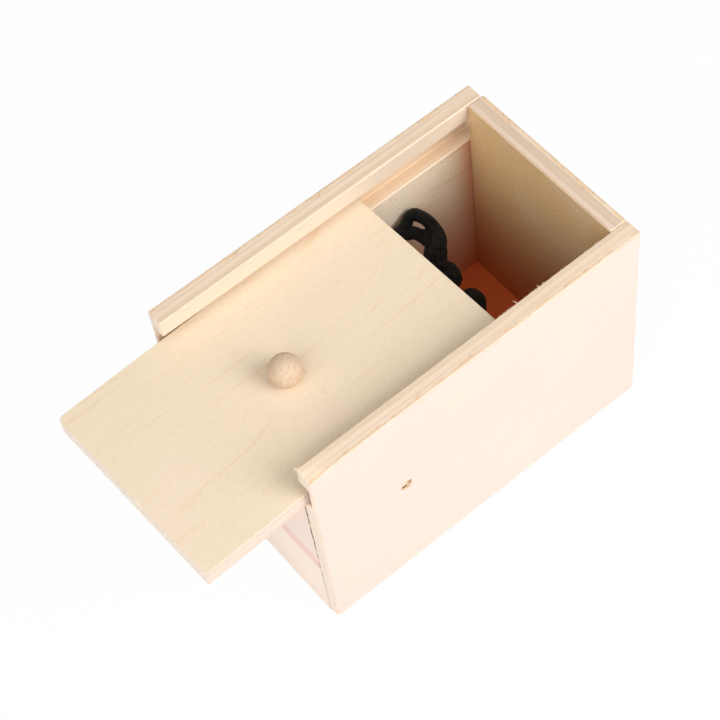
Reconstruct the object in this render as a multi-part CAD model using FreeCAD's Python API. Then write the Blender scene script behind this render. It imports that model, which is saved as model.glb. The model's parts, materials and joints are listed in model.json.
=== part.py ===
import FreeCAD, Part
import math
import os

# A small plywood scare box with a loose sliding lid. A sprung arm on a cross dowel carries a rubber
# scorpion, lies under the closed lid and rises through the opening as the lid is pulled out.
# Millimetres. Origin at the centre of the base, +X from the lid's mouth to the back, +Z up.

# Box, outside sizes and boards
box_length = 101.8
box_width = 62.4
box_height = 71.5
side_board = 5.0
end_board = 5.2
floor_board = 2.2
edge_ease = 0.25
far_wall_short = 0.6

# Lid and the grooves that guide it
lip_height = 5.7
groove_height = 7.9
groove_depth = 3.7
lid_thickness = 5.2
lid_side_play = 1.7
lid_under_gap = 0.1
lid_end_gap = 0.3
lid_front_setback = 3.2
lid_drawn_out = 32.85
lid_skew_deg = 1.9
lid_corner = 1.6
lid_sharp_corner = 0.6
lid_edge_ease = 0.3

# Knob, a turned ball on a short foot, held by a peg
knob_ball = 8.6
knob_foot = 5.6
knob_centre_height = 3.7
knob_off_middle = -1.5
peg_diameter = 3.0
peg_in_lid = 3.2
peg_in_knob = 4.2

# Cross dowel, the arm's block on it, and the sleeves beside the block
dowel_diameter = 2.8
pivot_from_front = 26.1
pivot_below_groove = 19.9
block_wall = 2.2
block_width = 14.0
block_reach = 9.0
block_round = 0.6
sleeve_wall = 1.6
glue_gap = 0.03
running_gap = 0.06
end_play = 0.3

# Lath that carries the scorpion
lath_thickness = 1.8
lath_width = 11.0
lath_start = 4.2
lath_reach = 41.0

# Torsion spring round the near sleeve
wire = 0.8
coil_gap = 1.0
coil_pitch = 1.3
coil_turns = 4
coil_to_block = 1.4
hook_reach = 17.0
hook_under_lath = 4.0
leg_bend = 1.8
brace_height = 14.0
brace_run = 6.0
seat_gap = 0.05

# Staple over the spring's braced leg
staple_wire = 0.9
staple_depth = 2.6

# Scorpion, one rubber moulding, and the two wires that tie it to the lath
claw_wall_gap = 0.3
claw_lift = 7.4
near_claw_fold_deg = 35
near_claw_sink = 4.0
trunk_flatness = 0.62
tail_bead = 1.75
tail_neck = 1.15
tail_over_block = 0.6
tail_below_lid = 3.6
telson = 1.9
leg_root = 1.25
leg_knee = 1.05
leg_foot = 0.55
tie_wire = 0.7
tie_gap = 0.15
tie_places = (18.4, 29.4)
tie_corner = 3.8

# Flats that stand for a round section
wire_flat_count = 8
limb_flat_count = 10
leg_flat_count = 7
trunk_flat_count = 16

# Places worked out from the sizes above
half_length = box_length / 2
half_width = box_width / 2
inside_half_width = half_width - side_board
groove_top = box_height - lip_height
groove_floor = groove_top - groove_height
back_inner = half_length - end_board
front_inner = end_board - half_length
pivot_x = pivot_from_front - half_length
pivot_z = groove_floor - pivot_below_groove
dowel_radius = dowel_diameter / 2
block_radius = dowel_radius + block_wall
block_half = block_width / 2
sleeve_radius = dowel_radius + sleeve_wall
lid_skew = math.radians(lid_skew_deg)
lid_width = 2 * (inside_half_width + groove_depth - lid_side_play)
lid_length = box_length - end_board - lid_front_setback
lid_bottom = groove_floor + lid_under_gap
lid_top = lid_bottom + lid_thickness
lid_rear_x = back_inner - lid_end_gap - lid_width / 2 * math.sin(lid_skew) - lid_drawn_out
lid_middle_x = lid_rear_x - lid_length / 2
lath_top = lath_thickness / 2
belly = lath_top + seat_gap
claw_span = inside_half_width - claw_wall_gap

X = FreeCAD.Vector(1, 0, 0)
Y = FreeCAD.Vector(0, 1, 0)
Z = FreeCAD.Vector(0, 0, 1)
PIVOT = FreeCAD.Vector(pivot_x, 0, pivot_z)


def vec(x, y, z):
    return FreeCAD.Vector(x, y, z)


def block(low, high):
    """A plain block between two corners."""
    size = high - low
    return Part.makeBox(size.x, size.y, size.z, low)


def board(low, high):
    """A board between two corners, with its sharp edges sanded off."""
    solid = block(low, high)
    return solid.makeChamfer(edge_ease, solid.Edges)


def rod(start, end, radius):
    """A round bar from one point to another."""
    along = end - start
    return Part.makeCylinder(radius, along.Length, start, along)


def sleeve(y_low, y_high, outer, inner):
    """A tube round the pivot axis."""
    low = vec(pivot_x, y_low, pivot_z)
    high = vec(pivot_x, y_high, pivot_z)
    return rod(low, high, outer).cut(rod(low - Y, high + Y, inner))


def frames(points):
    """A turning frame at each point of a line: its direction and a side that never spins."""
    found = []
    side = None
    last = len(points) - 1
    for i, point in enumerate(points):
        ahead = points[min(i + 1, last)] - point
        behind = point - points[max(i - 1, 0)]
        for way in (ahead, behind):
            if way.Length > 0:
                way.normalize()
        along = ahead + behind
        along.normalize()
        if side is None:
            side = along.cross(Z) if abs(along.z) < 0.9 else along.cross(X)
        side = side - along * side.dot(along)
        side.normalize()
        found.append((along, FreeCAD.Vector(side)))
    return found


def ring(middle, side, up, half_width, half_height, flats):
    """An oval drawn with a few flats, one of them at its foot, that touch it from outside."""
    grow = 1 / math.cos(math.pi / flats)
    points = []
    for i in range(flats):
        turn = 2 * math.pi * (i + 0.5) / flats
        across = side * (half_width * grow * math.sin(turn))
        points.append(middle + across - up * (half_height * grow * math.cos(turn)))
    return points


def closed(points):
    return Part.makePolygon(points + points[:1])


def skin(rings):
    """A closed solid with flat facets between rings of points."""
    faces = [Part.Face(closed(rings[0])), Part.Face(closed(rings[-1]))]
    for low, high in zip(rings, rings[1:]):
        for a, b, c, d in zip(low, low[1:] + low[:1], high[1:] + high[:1], high):
            faces += [Part.Face(closed([a, b, c])), Part.Face(closed([a, c, d]))]
    return Part.Solid(Part.Shell(faces))


def limb(stations, flats):
    """A tapering limb through round sections, each given as (point, radius)."""
    rings = []
    for (point, radius), (along, side) in zip(stations, frames([s[0] for s in stations])):
        rings.append(ring(point, side, side.cross(along), radius, radius, flats))
    return skin(rings)


def arc_between(start, corner, end):
    """The arc that touches start-corner at start and corner-end at end, which lie equally far off."""
    middle = (start + end) * 0.5
    half_chord = (end - start).Length / 2
    rise = (corner - middle).Length
    sag = half_chord * math.tan(math.atan2(rise, half_chord) / 2)
    return Part.Arc(start, middle + (corner - middle) * (sag / rise), end).toShape()


def biarc(p1, t1, p2, t2):
    """Two arcs that join p1 to p2 and leave and arrive along the unit vectors t1 and t2."""
    span = p2 - p1
    both = t1 + t2
    bend = 2 * (1 - t1.dot(t2))
    reach = (math.sqrt(span.dot(both) ** 2 + bend * span.dot(span)) - span.dot(both)) / bend
    corner1 = p1 + t1 * reach
    corner2 = p2 - t2 * reach
    joint = (corner1 + corner2) * 0.5
    return [arc_between(p1, corner1, joint), arc_between(joint, corner2, p2)]


def rounded_route(points, radius):
    """Straight runs through the points, joined by tangent arcs."""
    edges = []
    start = points[0]
    for before, corner, after in zip(points, points[1:], points[2:]):
        back = before - corner
        back.normalize()
        ahead = after - corner
        ahead.normalize()
        trim = radius / math.tan(math.acos(max(-1.0, min(1.0, back.dot(ahead)))) / 2)
        edges.append(Part.LineSegment(start, corner + back * trim).toShape())
        edges.append(arc_between(corner + back * trim, corner, corner + ahead * trim))
        start = corner + ahead * trim
    edges.append(Part.LineSegment(start, points[-1]).toShape())
    return edges


def wire_along(edges, radius):
    """A wire swept along edges that join smoothly."""
    first = edges[0]
    start = first.valueAt(first.FirstParameter)
    along = first.tangentAt(first.FirstParameter)
    side = along.cross(X) if abs(along.x) < abs(along.z) else along.cross(Z)
    side.normalize()
    section = ring(start, side, side.cross(along), radius, radius, wire_flat_count)
    return Part.Wire(edges).makePipeShell([closed(section)], True, False)


def least_gap(edges, radius, apart):
    """The least gap between stretches of a wire that lie at least a given length apart along it."""
    points = []
    travelled = 0.0
    for edge in edges:
        count = max(2, int(edge.Length / 0.4))
        for point in edge.discretize(count)[:-1]:
            points.append((travelled, point))
            travelled += edge.Length / (count - 1)
    gap = min((b - a).Length for s, a in points for t, b in points if t - s > apart)
    return gap - 2 * radius


def side_wall(side):
    """A side board with the lid's groove inside and the dowel's hole; side is -1 near, 1 far."""
    outer = side * half_width
    inner = side * inside_half_width
    back = half_length - (far_wall_short if side > 0 else 0.0)
    low = vec(-half_length, min(outer, inner), 0)
    high = vec(back, max(outer, inner), box_height)
    wall = board(low, high)
    groove_back = inner + side * groove_depth
    groove = block(
        vec(-half_length - 1, min(inner - side, groove_back), groove_floor),
        vec(half_length + 1, max(inner - side, groove_back), groove_top),
    )
    outside = vec(pivot_x, outer + side, pivot_z)
    inside = vec(pivot_x, inner - side, pivot_z)
    return wall.cut(groove).cut(rod(outside, inside, dowel_radius + glue_gap))


def front_wall():
    """The lower end board, which the lid passes over, with the staple's two holes."""
    low = vec(-half_length, -inside_half_width, 0)
    high = vec(front_inner, inside_half_width, groove_floor)
    wall = board(low, high)
    for leg in staple_legs():
        wall = wall.cut(rod(leg[0], leg[1] - X * glue_gap, staple_wire / 2 + glue_gap))
    return wall


def back_wall():
    """The full-height end board."""
    low = vec(back_inner, -inside_half_width, 0)
    return board(low, vec(half_length, inside_half_width, box_height))


def floor_panel():
    """The thin floor, set between the four boards."""
    low = vec(front_inner, -inside_half_width, 0)
    return block(low, vec(back_inner, inside_half_width, floor_board))


def skewed(shape):
    """Turns a lid piece by the little that the lid stands askew in its loose grooves."""
    turned = shape.copy()
    turned.rotate(vec(lid_middle_x, 0, 0), Z, lid_skew_deg)
    return turned


def knob_foot_point():
    return vec(lid_middle_x, knob_off_middle, lid_top)


def peg_hole(clearance):
    low = knob_foot_point() - Z * (peg_in_lid + clearance)
    high = knob_foot_point() + Z * (peg_in_knob + clearance)
    return rod(low, high, peg_diameter / 2 + clearance)


def lid_panel():
    """The sliding lid, round at all corners but one and bored for the knob's peg."""
    low = vec(lid_middle_x - lid_length / 2, -lid_width / 2, lid_bottom)
    size = vec(lid_length, lid_width, lid_thickness)
    panel = Part.makeBox(size.x, size.y, size.z, low)
    upright = [e for e in panel.Edges if abs(e.tangentAt(e.FirstParameter).z) > 0.9]
    round_corners = [e for e in upright if (e.CenterOfMass - low).Length > lid_thickness]
    panel = panel.makeFillet(lid_corner, round_corners)
    upright = [e for e in panel.Edges if abs(e.tangentAt(e.FirstParameter).z) > 0.9]
    sharp_corner = [e for e in upright if (e.CenterOfMass - low).Length < lid_thickness]
    panel = panel.makeFillet(lid_sharp_corner, sharp_corner)
    flat_edges = [e for e in panel.Edges if abs(e.tangentAt(e.FirstParameter).z) < 0.1]
    panel = panel.makeChamfer(lid_edge_ease, flat_edges)
    return skewed(panel.cut(peg_hole(glue_gap)))


def lid_knob():
    """A turned ball that stands on a short foot."""
    foot = knob_foot_point()
    ball = Part.makeSphere(knob_ball / 2, foot + Z * knob_centre_height)
    neck = Part.makeCylinder(knob_foot / 2, knob_centre_height, foot)
    below = block(foot + vec(-knob_ball, -knob_ball, -knob_ball), foot + vec(knob_ball, knob_ball, 0))
    return skewed(ball.fuse(neck).cut(below).removeSplitter().cut(peg_hole(glue_gap)))


def knob_peg():
    return skewed(peg_hole(0.0))


def arm_block():
    """The block that turns on the dowel: round behind, flat above and below, slotted for the lath."""
    r = block_radius
    corners = [vec(0, 0, r), vec(block_reach, 0, r), vec(block_reach, 0, -r), vec(0, 0, -r)]
    outline = [Part.LineSegment(a, b).toShape() for a, b in zip(corners, corners[1:])]
    outline.append(Part.Arc(corners[3], vec(-r, 0, 0), corners[0]).toShape())
    body = Part.Face(Part.Wire(outline)).extrude(Y * block_width)
    body.translate(PIVOT - Y * block_half)
    front = [e for e in body.Edges if abs(e.CenterOfMass.x - pivot_x - block_reach) < 1e-6]
    body = body.makeFillet(block_round, [e for e in front if abs(e.tangentAt(e.FirstParameter).y) > 0.9])
    slot_half = lath_thickness / 2 + glue_gap
    slot = block(
        PIVOT + vec(lath_start - glue_gap, -lath_width / 2 - glue_gap, -slot_half),
        PIVOT + vec(block_reach + 1, lath_width / 2 + glue_gap, slot_half),
    )
    bore = rod(PIVOT - Y * block_width, PIVOT + Y * block_width, dowel_radius + running_gap)
    return body.cut(slot).cut(bore)


def arm_lath():
    """A thin wooden strip with a round end."""
    half = lath_width / 2
    straight_end = lath_reach - half
    outline = [
        Part.LineSegment(vec(straight_end, -half, 0), vec(lath_start, -half, 0)).toShape(),
        Part.LineSegment(vec(lath_start, -half, 0), vec(lath_start, half, 0)).toShape(),
        Part.LineSegment(vec(lath_start, half, 0), vec(straight_end, half, 0)).toShape(),
        Part.Arc(vec(straight_end, half, 0), vec(lath_reach, 0, 0), vec(straight_end, -half, 0)).toShape(),
    ]
    strip = Part.Face(Part.Wire(outline)).extrude(Z * lath_thickness)
    strip.translate(PIVOT - Z * lath_thickness / 2)
    return strip


def coil_radius():
    return sleeve_radius + coil_gap + wire / 2


def leaving_angle(target, sign):
    """The angle round the coil at which a straight leg leaves it for a target, seen along the axis."""
    away = math.hypot(target.x, target.z)
    return math.atan2(target.z, target.x) + sign * math.acos(coil_radius() / away)


def brace_point():
    """Where the fixed leg meets the front wall, from the pivot."""
    return vec(front_inner - pivot_x + wire / 2 + seat_gap, 0, brace_height - pivot_z)


def hook_point():
    """Where the moving leg turns in under the lath, from the pivot."""
    return vec(hook_reach, 0, -lath_thickness / 2 - wire / 2 - seat_gap)


def spring_route():
    """The spring's line: braced leg, coil, and the leg that hooks under the lath, from the pivot."""
    radius = coil_radius()
    first = leaving_angle(brace_point(), -1) + 2 * math.pi
    last = leaving_angle(hook_point(), 1)
    while first - last < 2 * math.pi * coil_turns:
        last -= 2 * math.pi
    climb = coil_pitch / (2 * math.pi)
    end_y = -block_half - coil_to_block
    slope = math.hypot(radius, climb)

    def point(angle):
        return vec(radius * math.cos(angle), end_y - climb * (angle - last), radius * math.sin(angle))

    def heading(angle):
        return vec(radius * math.sin(angle), climb, -radius * math.cos(angle)) * (1 / slope)

    quarters = math.ceil((first - last) / (math.pi / 2))
    angles = [first + (last - first) * i / quarters for i in range(quarters + 1)]
    coil = []
    for a, b in zip(angles, angles[1:]):
        coil += biarc(point(a), heading(a), point(b), heading(b))
    leg = (brace_point().x - point(first).x) / heading(first).x
    brace_corner = point(first) + heading(first) * leg
    brace = rounded_route([brace_corner - Z * brace_run, brace_corner, point(first)], leg_bend)
    reach = (hook_point().x - point(last).x) / heading(last).x
    hook_corner = point(last) + heading(last) * reach
    hook_end = vec(hook_corner.x, hook_under_lath - lath_width / 2, hook_corner.z)
    hook = rounded_route([point(last), hook_corner, hook_end], leg_bend)
    return brace + coil + hook


def torsion_spring():
    edges = [e.translated(PIVOT) for e in spring_route()]
    apart = math.pi * coil_radius()
    print("torsion_spring: least gap to itself", round(least_gap(edges, wire / 2, apart), 3), "mm")
    return wire_along(edges, wire / 2)


def braced_leg_middle():
    """The middle of the straight run of the braced leg, on the front wall."""
    start = spring_route()[0]
    return PIVOT + start.valueAt((start.FirstParameter + start.LastParameter) / 2)


def staple_legs():
    """The two legs of the staple: each a line from its buried tip to its crown."""
    middle = braced_leg_middle()
    crown_x = front_inner + wire + 2 * seat_gap + staple_wire / 2
    spread = wire / 2 + seat_gap + staple_wire / 2
    tip_x = front_inner - staple_depth
    ends = [middle.y - spread, middle.y + spread]
    return [(vec(tip_x, y, middle.z), vec(crown_x, y, middle.z)) for y in ends]


def spring_staple():
    """A wire staple that holds the braced leg to the front wall."""
    low, high = staple_legs()
    legs = [rod(low[0], low[1], staple_wire / 2), rod(high[0], high[1], staple_wire / 2)]
    crown = rod(low[1], high[1], staple_wire / 2)
    corners = [Part.makeSphere(staple_wire / 2, leg[1]) for leg in (low, high)]
    return legs[0].multiFuse([legs[1], crown] + corners).removeSplitter()


def trunk_stations():
    """Half widths along the scorpion's trunk, from the tail's root to the head: (reach, half width)."""
    plate = 3.1
    overlap = 0.1
    plate_widths = (3.2, 4.1, 4.8, 5.2, 5.3, 5.1)
    stations = [(13.2, 2.0)]
    reach = 14.0
    for half in plate_widths:
        stations += [(reach, half), (reach + plate - overlap, half * 0.92)]
        reach += plate
    shield = ((0.0, 4.9), (2.6, 5.3), (5.6, 5.2), (8.2, 4.6), (10.2, 3.4), (11.2, 2.0))
    return stations + [(reach + ahead, half) for ahead, half in shield]


def trunk():
    """Head shield and overlapping back plates, flat underneath where they lie on the lath."""
    rings = []
    for reach, half in trunk_stations():
        rise = half * trunk_flatness
        rings.append(ring(vec(reach, 0, belly + rise), Y, Z, half, rise, trunk_flat_count))
    return skin(rings)


def tail():
    """A beaded tail that rises over the block and curls forward, with a bulb and a sting."""
    clear = block_radius + tail_over_block + tail_bead
    sink = math.sin(math.radians(60))
    tail_curl = (pivot_below_groove - tail_below_lid - clear - tail_bead) / (1 + sink)
    middle = vec(block_reach + 3.4, 0, clear + tail_curl * sink)

    def on_curl(degrees):
        turn = math.radians(degrees)
        return middle + vec(math.cos(turn), 0, math.sin(turn)) * tail_curl

    stations = [(vec(block_reach + 7.0, 0, belly + 1.6), 1.5)]
    for bead in range(5):
        start = -80 - 30 * bead
        stations += [(on_curl(start), tail_neck), (on_curl(start - 9), tail_bead)]
        stations += [(on_curl(start - 21), tail_bead)]
    end = -230
    stations += [(on_curl(end), tail_neck), (on_curl(end - 9), telson * 0.8), (on_curl(end - 17), telson)]
    stations += [(on_curl(end - 27), telson * 0.75), (on_curl(end - 37), 0.7)]
    tip = on_curl(end - 37) + vec(1.9, 0, -1.5)
    return limb(stations + [(tip, 0.25)], limb_flat_count)


def far_claw():
    """The far pincer: arm, wrist, hand and outer finger, and the finger that closes on it."""
    elbow = [(vec(40.0, 2.6, 4.0), 1.6), (vec(43.2, 3.9, 4.6), 2.3), (vec(45.0, 5.0, 4.8), 3.2)]
    elbow += [(vec(45.6, 6.8, 5.6), 2.7)]
    hand, thumb = pincer()
    return [limb(elbow + hand, limb_flat_count), limb(thumb, limb_flat_count)]


def near_claw():
    """The near pincer: the same hand, folded back at the elbow and hanging lower."""
    joint = vec(45.0, 5.0, 0)
    bend_starts, bend_ends = 6.8, 10.8

    def folded(station):
        place, radius = station
        share = min(1, (place.y - bend_starts) / (bend_ends - bend_starts))
        turned = FreeCAD.Rotation(Z, near_claw_fold_deg).multVec(place - joint) + joint
        return vec(turned.x, -turned.y, place.z - share * near_claw_sink), radius

    elbow = [(vec(40.0, -2.0, 4.0), 1.6), (vec(43.0, -2.4, 4.2), 2.4), (vec(44.8, -3.0, 4.3), 3.0)]
    elbow += [(vec(44.8, -4.8, 4.6), 3.0), (vec(44.0, -6.6, 4.6), 2.3)]
    hand, thumb = ([folded(station) for station in run] for run in pincer())
    return [limb(elbow + hand, limb_flat_count), limb(thumb, limb_flat_count)]


def pincer():
    """A hand on the far side, from its neck to its outer finger's tip, and its other finger."""
    def at(reach, from_tip, lift):
        return vec(reach, claw_span - from_tip, claw_lift + lift)

    wrist = [(at(45.2, 17.0, -0.8), 1.9), (at(46.0, 15.0, -0.4), 2.2), (at(46.6, 13.9, -0.2), 3.0)]
    wrist += [(at(47.1, 12.7, -0.1), 2.9), (at(47.5, 11.7, 0.0), 2.6)]
    palm = [(at(48.3, 9.9, 0.1), 3.1), (at(49.6, 8.1, 0.5), 2.5), (at(50.7, 6.1, 1.1), 1.9)]
    finger = [(at(50.5, 3.6, 1.7), 1.75), (at(48.9, 2.0, 1.8), 1.7), (at(46.9, 1.9, 1.3), 1.65)]
    finger += [(at(45.2, 2.3, 0.7), 1.5)]
    thumb = [(at(47.3, 8.9, -0.1), 2.3), (at(46.5, 6.7, -0.2), 1.95), (at(45.4, 4.6, -0.2), 1.9)]
    thumb += [(at(43.9, 2.7, -0.2), 1.75), (at(42.8, 2.1, -0.2), 1.4)]
    return wrist + palm + finger, thumb


def leg(side, root_reach, knee_reach, foot_reach, spread):
    """One walking leg: up and out to the knee, then down to the foot."""
    rise = belly + 2.6
    hip = vec(root_reach, side * 3.6, rise)
    knee = vec(knee_reach, side * spread * 0.62, rise + 3.2)
    shin = knee + (vec(foot_reach, side * spread, belly - 6.4) - knee) * 0.3
    foot = vec(foot_reach, side * spread, belly - 6.4)
    return limb([(hip, leg_root), (knee, leg_knee), (shin, leg_knee), (foot, leg_foot)], leg_flat_count)


def scorpion():
    """The rubber scorpion, one moulding, lying on the lath with its claws towards the back."""
    pieces = [tail()] + near_claw() + far_claw()
    front_legs = ((40.2, 38.6, 37.4, 15.6), (38.2, 35.4, 33.0, 18.0))
    rear_legs = ((36.2, 31.4, 27.2, 18.6), (34.4, 27.8, 21.6, 17.6))
    for side in (-1, 1):
        pieces += [leg(side, *places) for places in front_legs + rear_legs]
    moulding = trunk().multiFuse(pieces).removeSplitter()
    moulding.translate(PIVOT)
    return moulding


def trunk_half(reach):
    """Half the trunk's width at a place along it."""
    stations = trunk_stations()
    for (near, wide), (far, next_wide) in zip(stations, stations[1:]):
        if near <= reach <= far:
            return wide + (next_wide - wide) * (reach - near) / (far - near)


def tie(reach):
    """A wire drawn round the lath and the scorpion's trunk."""
    half = lath_width / 2 + tie_gap + tie_wire / 2
    low = -lath_thickness / 2 - tie_gap - tie_wire / 2
    widest = max(trunk_half(reach - tie_wire / 2), trunk_half(reach + tie_wire / 2))
    high = belly + 2 * widest * trunk_flatness + tie_gap + tie_wire / 2
    sides = [vec(reach, 0, low), vec(reach, half, low), vec(reach, half, high), vec(reach, -half, high)]
    sides += [vec(reach, -half, low), vec(reach, 0, low)]
    lower = tie_wire
    edges = rounded_route(sides[:3], lower)[:-1] + rounded_route(
        [vec(reach, half, low + lower), sides[2], sides[3], vec(reach, -half, low + lower)], tie_corner
    )
    edges += rounded_route(sides[3:], lower)[1:]
    loop = wire_along(edges, tie_wire / 2)
    loop.translate(PIVOT)
    return loop


def build():
    inner_end = inside_half_width
    bore = dowel_radius + glue_gap
    dowel_ends = [vec(pivot_x, end, pivot_z) for end in (-half_width, half_width)]
    nodes = {
        "near_side_wall": side_wall(-1),
        "far_side_wall": side_wall(1),
        "front_wall": front_wall(),
        "back_wall": back_wall(),
        "floor_panel": floor_panel(),
        "pivot_dowel": rod(dowel_ends[0], dowel_ends[1], dowel_radius),
        "near_sleeve": sleeve(-inner_end, -block_half - end_play, sleeve_radius, bore),
        "far_sleeve": sleeve(block_half + end_play, inner_end, sleeve_radius, bore),
        "spring_staple": spring_staple(),
        "torsion_spring": torsion_spring(),
        "lid_panel": lid_panel(),
        "lid_knob": lid_knob(),
        "knob_peg": knob_peg(),
        "arm_block": arm_block(),
        "arm_lath": arm_lath(),
        "scorpion": scorpion(),
        "rear_tie": tie(tie_places[0]),
        "front_tie": tie(tie_places[1]),
    }
    os.makedirs("parts", exist_ok=True)
    for name, shape in nodes.items():
        print(name, shape.ShapeType, len(shape.Solids), shape.isValid(), round(shape.Volume, 2))
        shape.exportStep("parts/" + name + ".step")


build()
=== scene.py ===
import contextlib
import json
import math
import random

import bmesh
import bpy
from bpy.props import FloatProperty, FloatVectorProperty, PointerProperty
from mathutils import Matrix, Vector


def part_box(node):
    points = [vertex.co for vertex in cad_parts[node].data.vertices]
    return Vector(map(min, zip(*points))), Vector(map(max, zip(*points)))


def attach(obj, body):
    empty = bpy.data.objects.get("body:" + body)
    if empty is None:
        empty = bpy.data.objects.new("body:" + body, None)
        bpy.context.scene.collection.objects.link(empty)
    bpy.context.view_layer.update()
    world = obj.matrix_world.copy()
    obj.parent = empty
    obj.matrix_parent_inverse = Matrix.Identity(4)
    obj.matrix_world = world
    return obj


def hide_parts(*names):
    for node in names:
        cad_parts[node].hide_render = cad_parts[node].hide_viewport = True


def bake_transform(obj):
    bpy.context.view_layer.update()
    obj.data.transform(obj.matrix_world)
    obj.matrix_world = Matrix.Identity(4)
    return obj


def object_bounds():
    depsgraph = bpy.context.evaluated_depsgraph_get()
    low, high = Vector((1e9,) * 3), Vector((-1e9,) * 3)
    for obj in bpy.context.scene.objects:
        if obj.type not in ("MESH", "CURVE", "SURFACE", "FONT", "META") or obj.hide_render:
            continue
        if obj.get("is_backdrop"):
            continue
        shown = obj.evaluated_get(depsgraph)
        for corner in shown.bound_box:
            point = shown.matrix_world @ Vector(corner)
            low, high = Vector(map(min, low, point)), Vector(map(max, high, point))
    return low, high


bl_info = {
    "name": "Plywood scare box",
    "version": (1, 0, 0),
    "blender": (4, 5, 0),
    "location": "3D View > Sidebar > Scare box",
    "description": "Dresses a sliding-lid box whose sprung arm carries a rubber scorpion",
    "category": "Object",
}

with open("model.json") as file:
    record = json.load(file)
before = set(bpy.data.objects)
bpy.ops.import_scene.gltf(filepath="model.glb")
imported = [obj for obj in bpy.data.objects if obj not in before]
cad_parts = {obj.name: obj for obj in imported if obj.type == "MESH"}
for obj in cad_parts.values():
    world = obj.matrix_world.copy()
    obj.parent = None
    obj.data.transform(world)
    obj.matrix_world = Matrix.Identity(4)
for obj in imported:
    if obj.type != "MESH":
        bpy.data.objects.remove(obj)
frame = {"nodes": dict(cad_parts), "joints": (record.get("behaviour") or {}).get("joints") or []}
CAD_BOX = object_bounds()
MM = 0.001
X, Y, Z = range(3)
PIVOT = Vector(next(j for j in frame["joints"] if j["name"] == "arm_swing")["pos_m"])


def srgb(red, green, blue):
    """A colour as a picture shows it, 0 to 255, in the light values that a shader takes."""
    found = []
    for part in (red, green, blue):
        part /= 255
        found.append(part / 12.92 if part <= 0.04045 else ((part + 0.055) / 1.055) ** 2.4)
    return tuple(found)


def number(name, description, default, **more):
    return FloatProperty(name=name, description=description, default=default, **more)


def length(name, description, millimetres):
    return number(name, description, millimetres * MM, unit="LENGTH", precision=5)


def power(name, description, watts):
    return number(name, description, watts, subtype="POWER")


def colour(name, description, red, green, blue):
    return FloatVectorProperty(
        name=name, description=description, default=srgb(red, green, blue), subtype="COLOR", size=3
    )


class BoardSettings(bpy.types.PropertyGroup):
    """Sizes of the boards, the lid and its knob"""

    edge_round: length("Edge rounding", "Radius of each board's sanded edges", 0.34)
    edge_wear: length("Edge wear", "Depth of the nicks along the edges", 0.22)
    wear_grain: length("Wear grain", "Length of one nick along an edge", 2.4)
    groove_depth: length("Groove depth", "How far the lid's groove goes into a side", 3.7)
    lip_height: length("Lip height", "Wood left above the groove", 5.7)
    lid_corner: length("Lid corner", "Radius of the lid's corners, seen from above", 1.6)
    lid_sharp: length("Sharp lid corner", "Radius of the one corner that was left nearly sharp", 0.6)
    worn_corner: length("Worn corner", "Radius of the near side's worn front corner", 0.75)
    worn_drop: length("Worn drop", "How far the near side's upper edge is worn down at that corner", 1.3)
    worn_run: length("Worn run", "Length of that edge that is worn down", 14.0)
    end_gap: length("End gap", "Open seam between the front wall's ends and the sides", 0.2)
    lap: length("Front lap", "Thickness of the front wall's layer that laps over the near side's end", 0.25)
    lap_high: length("Upper lap", "How far that layer laps over at its top", 0.7)
    lap_low: length("Lower lap", "How far that layer laps over at its foot", 2.0)
    # Height where the painted pinkish shadow of the lid starts on the front wall
    lid_shadow_line: length("Heartwood height", "Where the front wall turns pink", 24.6)
    lid_edge: length("Lid edge", "Radius of the lid's upper and lower edges", 0.3)
    lid_skew: number(
        "Lid skew", "How far the lid stands askew in its grooves", math.radians(1.9), subtype="ANGLE"
    )
    knob_foot: length("Knob foot", "Radius of the knob's foot on the lid", 2.8)
    knob_centre: length("Knob centre", "Height of the ball's centre above the lid", 3.7)
    mark_length: length("Dowel mark length", "Torn mark round the dowel's end, along the grain", 3.6)
    mark_height: length("Dowel mark height", "Torn mark round the dowel's end, across the grain", 3.4)
    mark_depth: length("Dowel mark depth", "How far the dowel's end lies below the board's face", 0.4)


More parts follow.
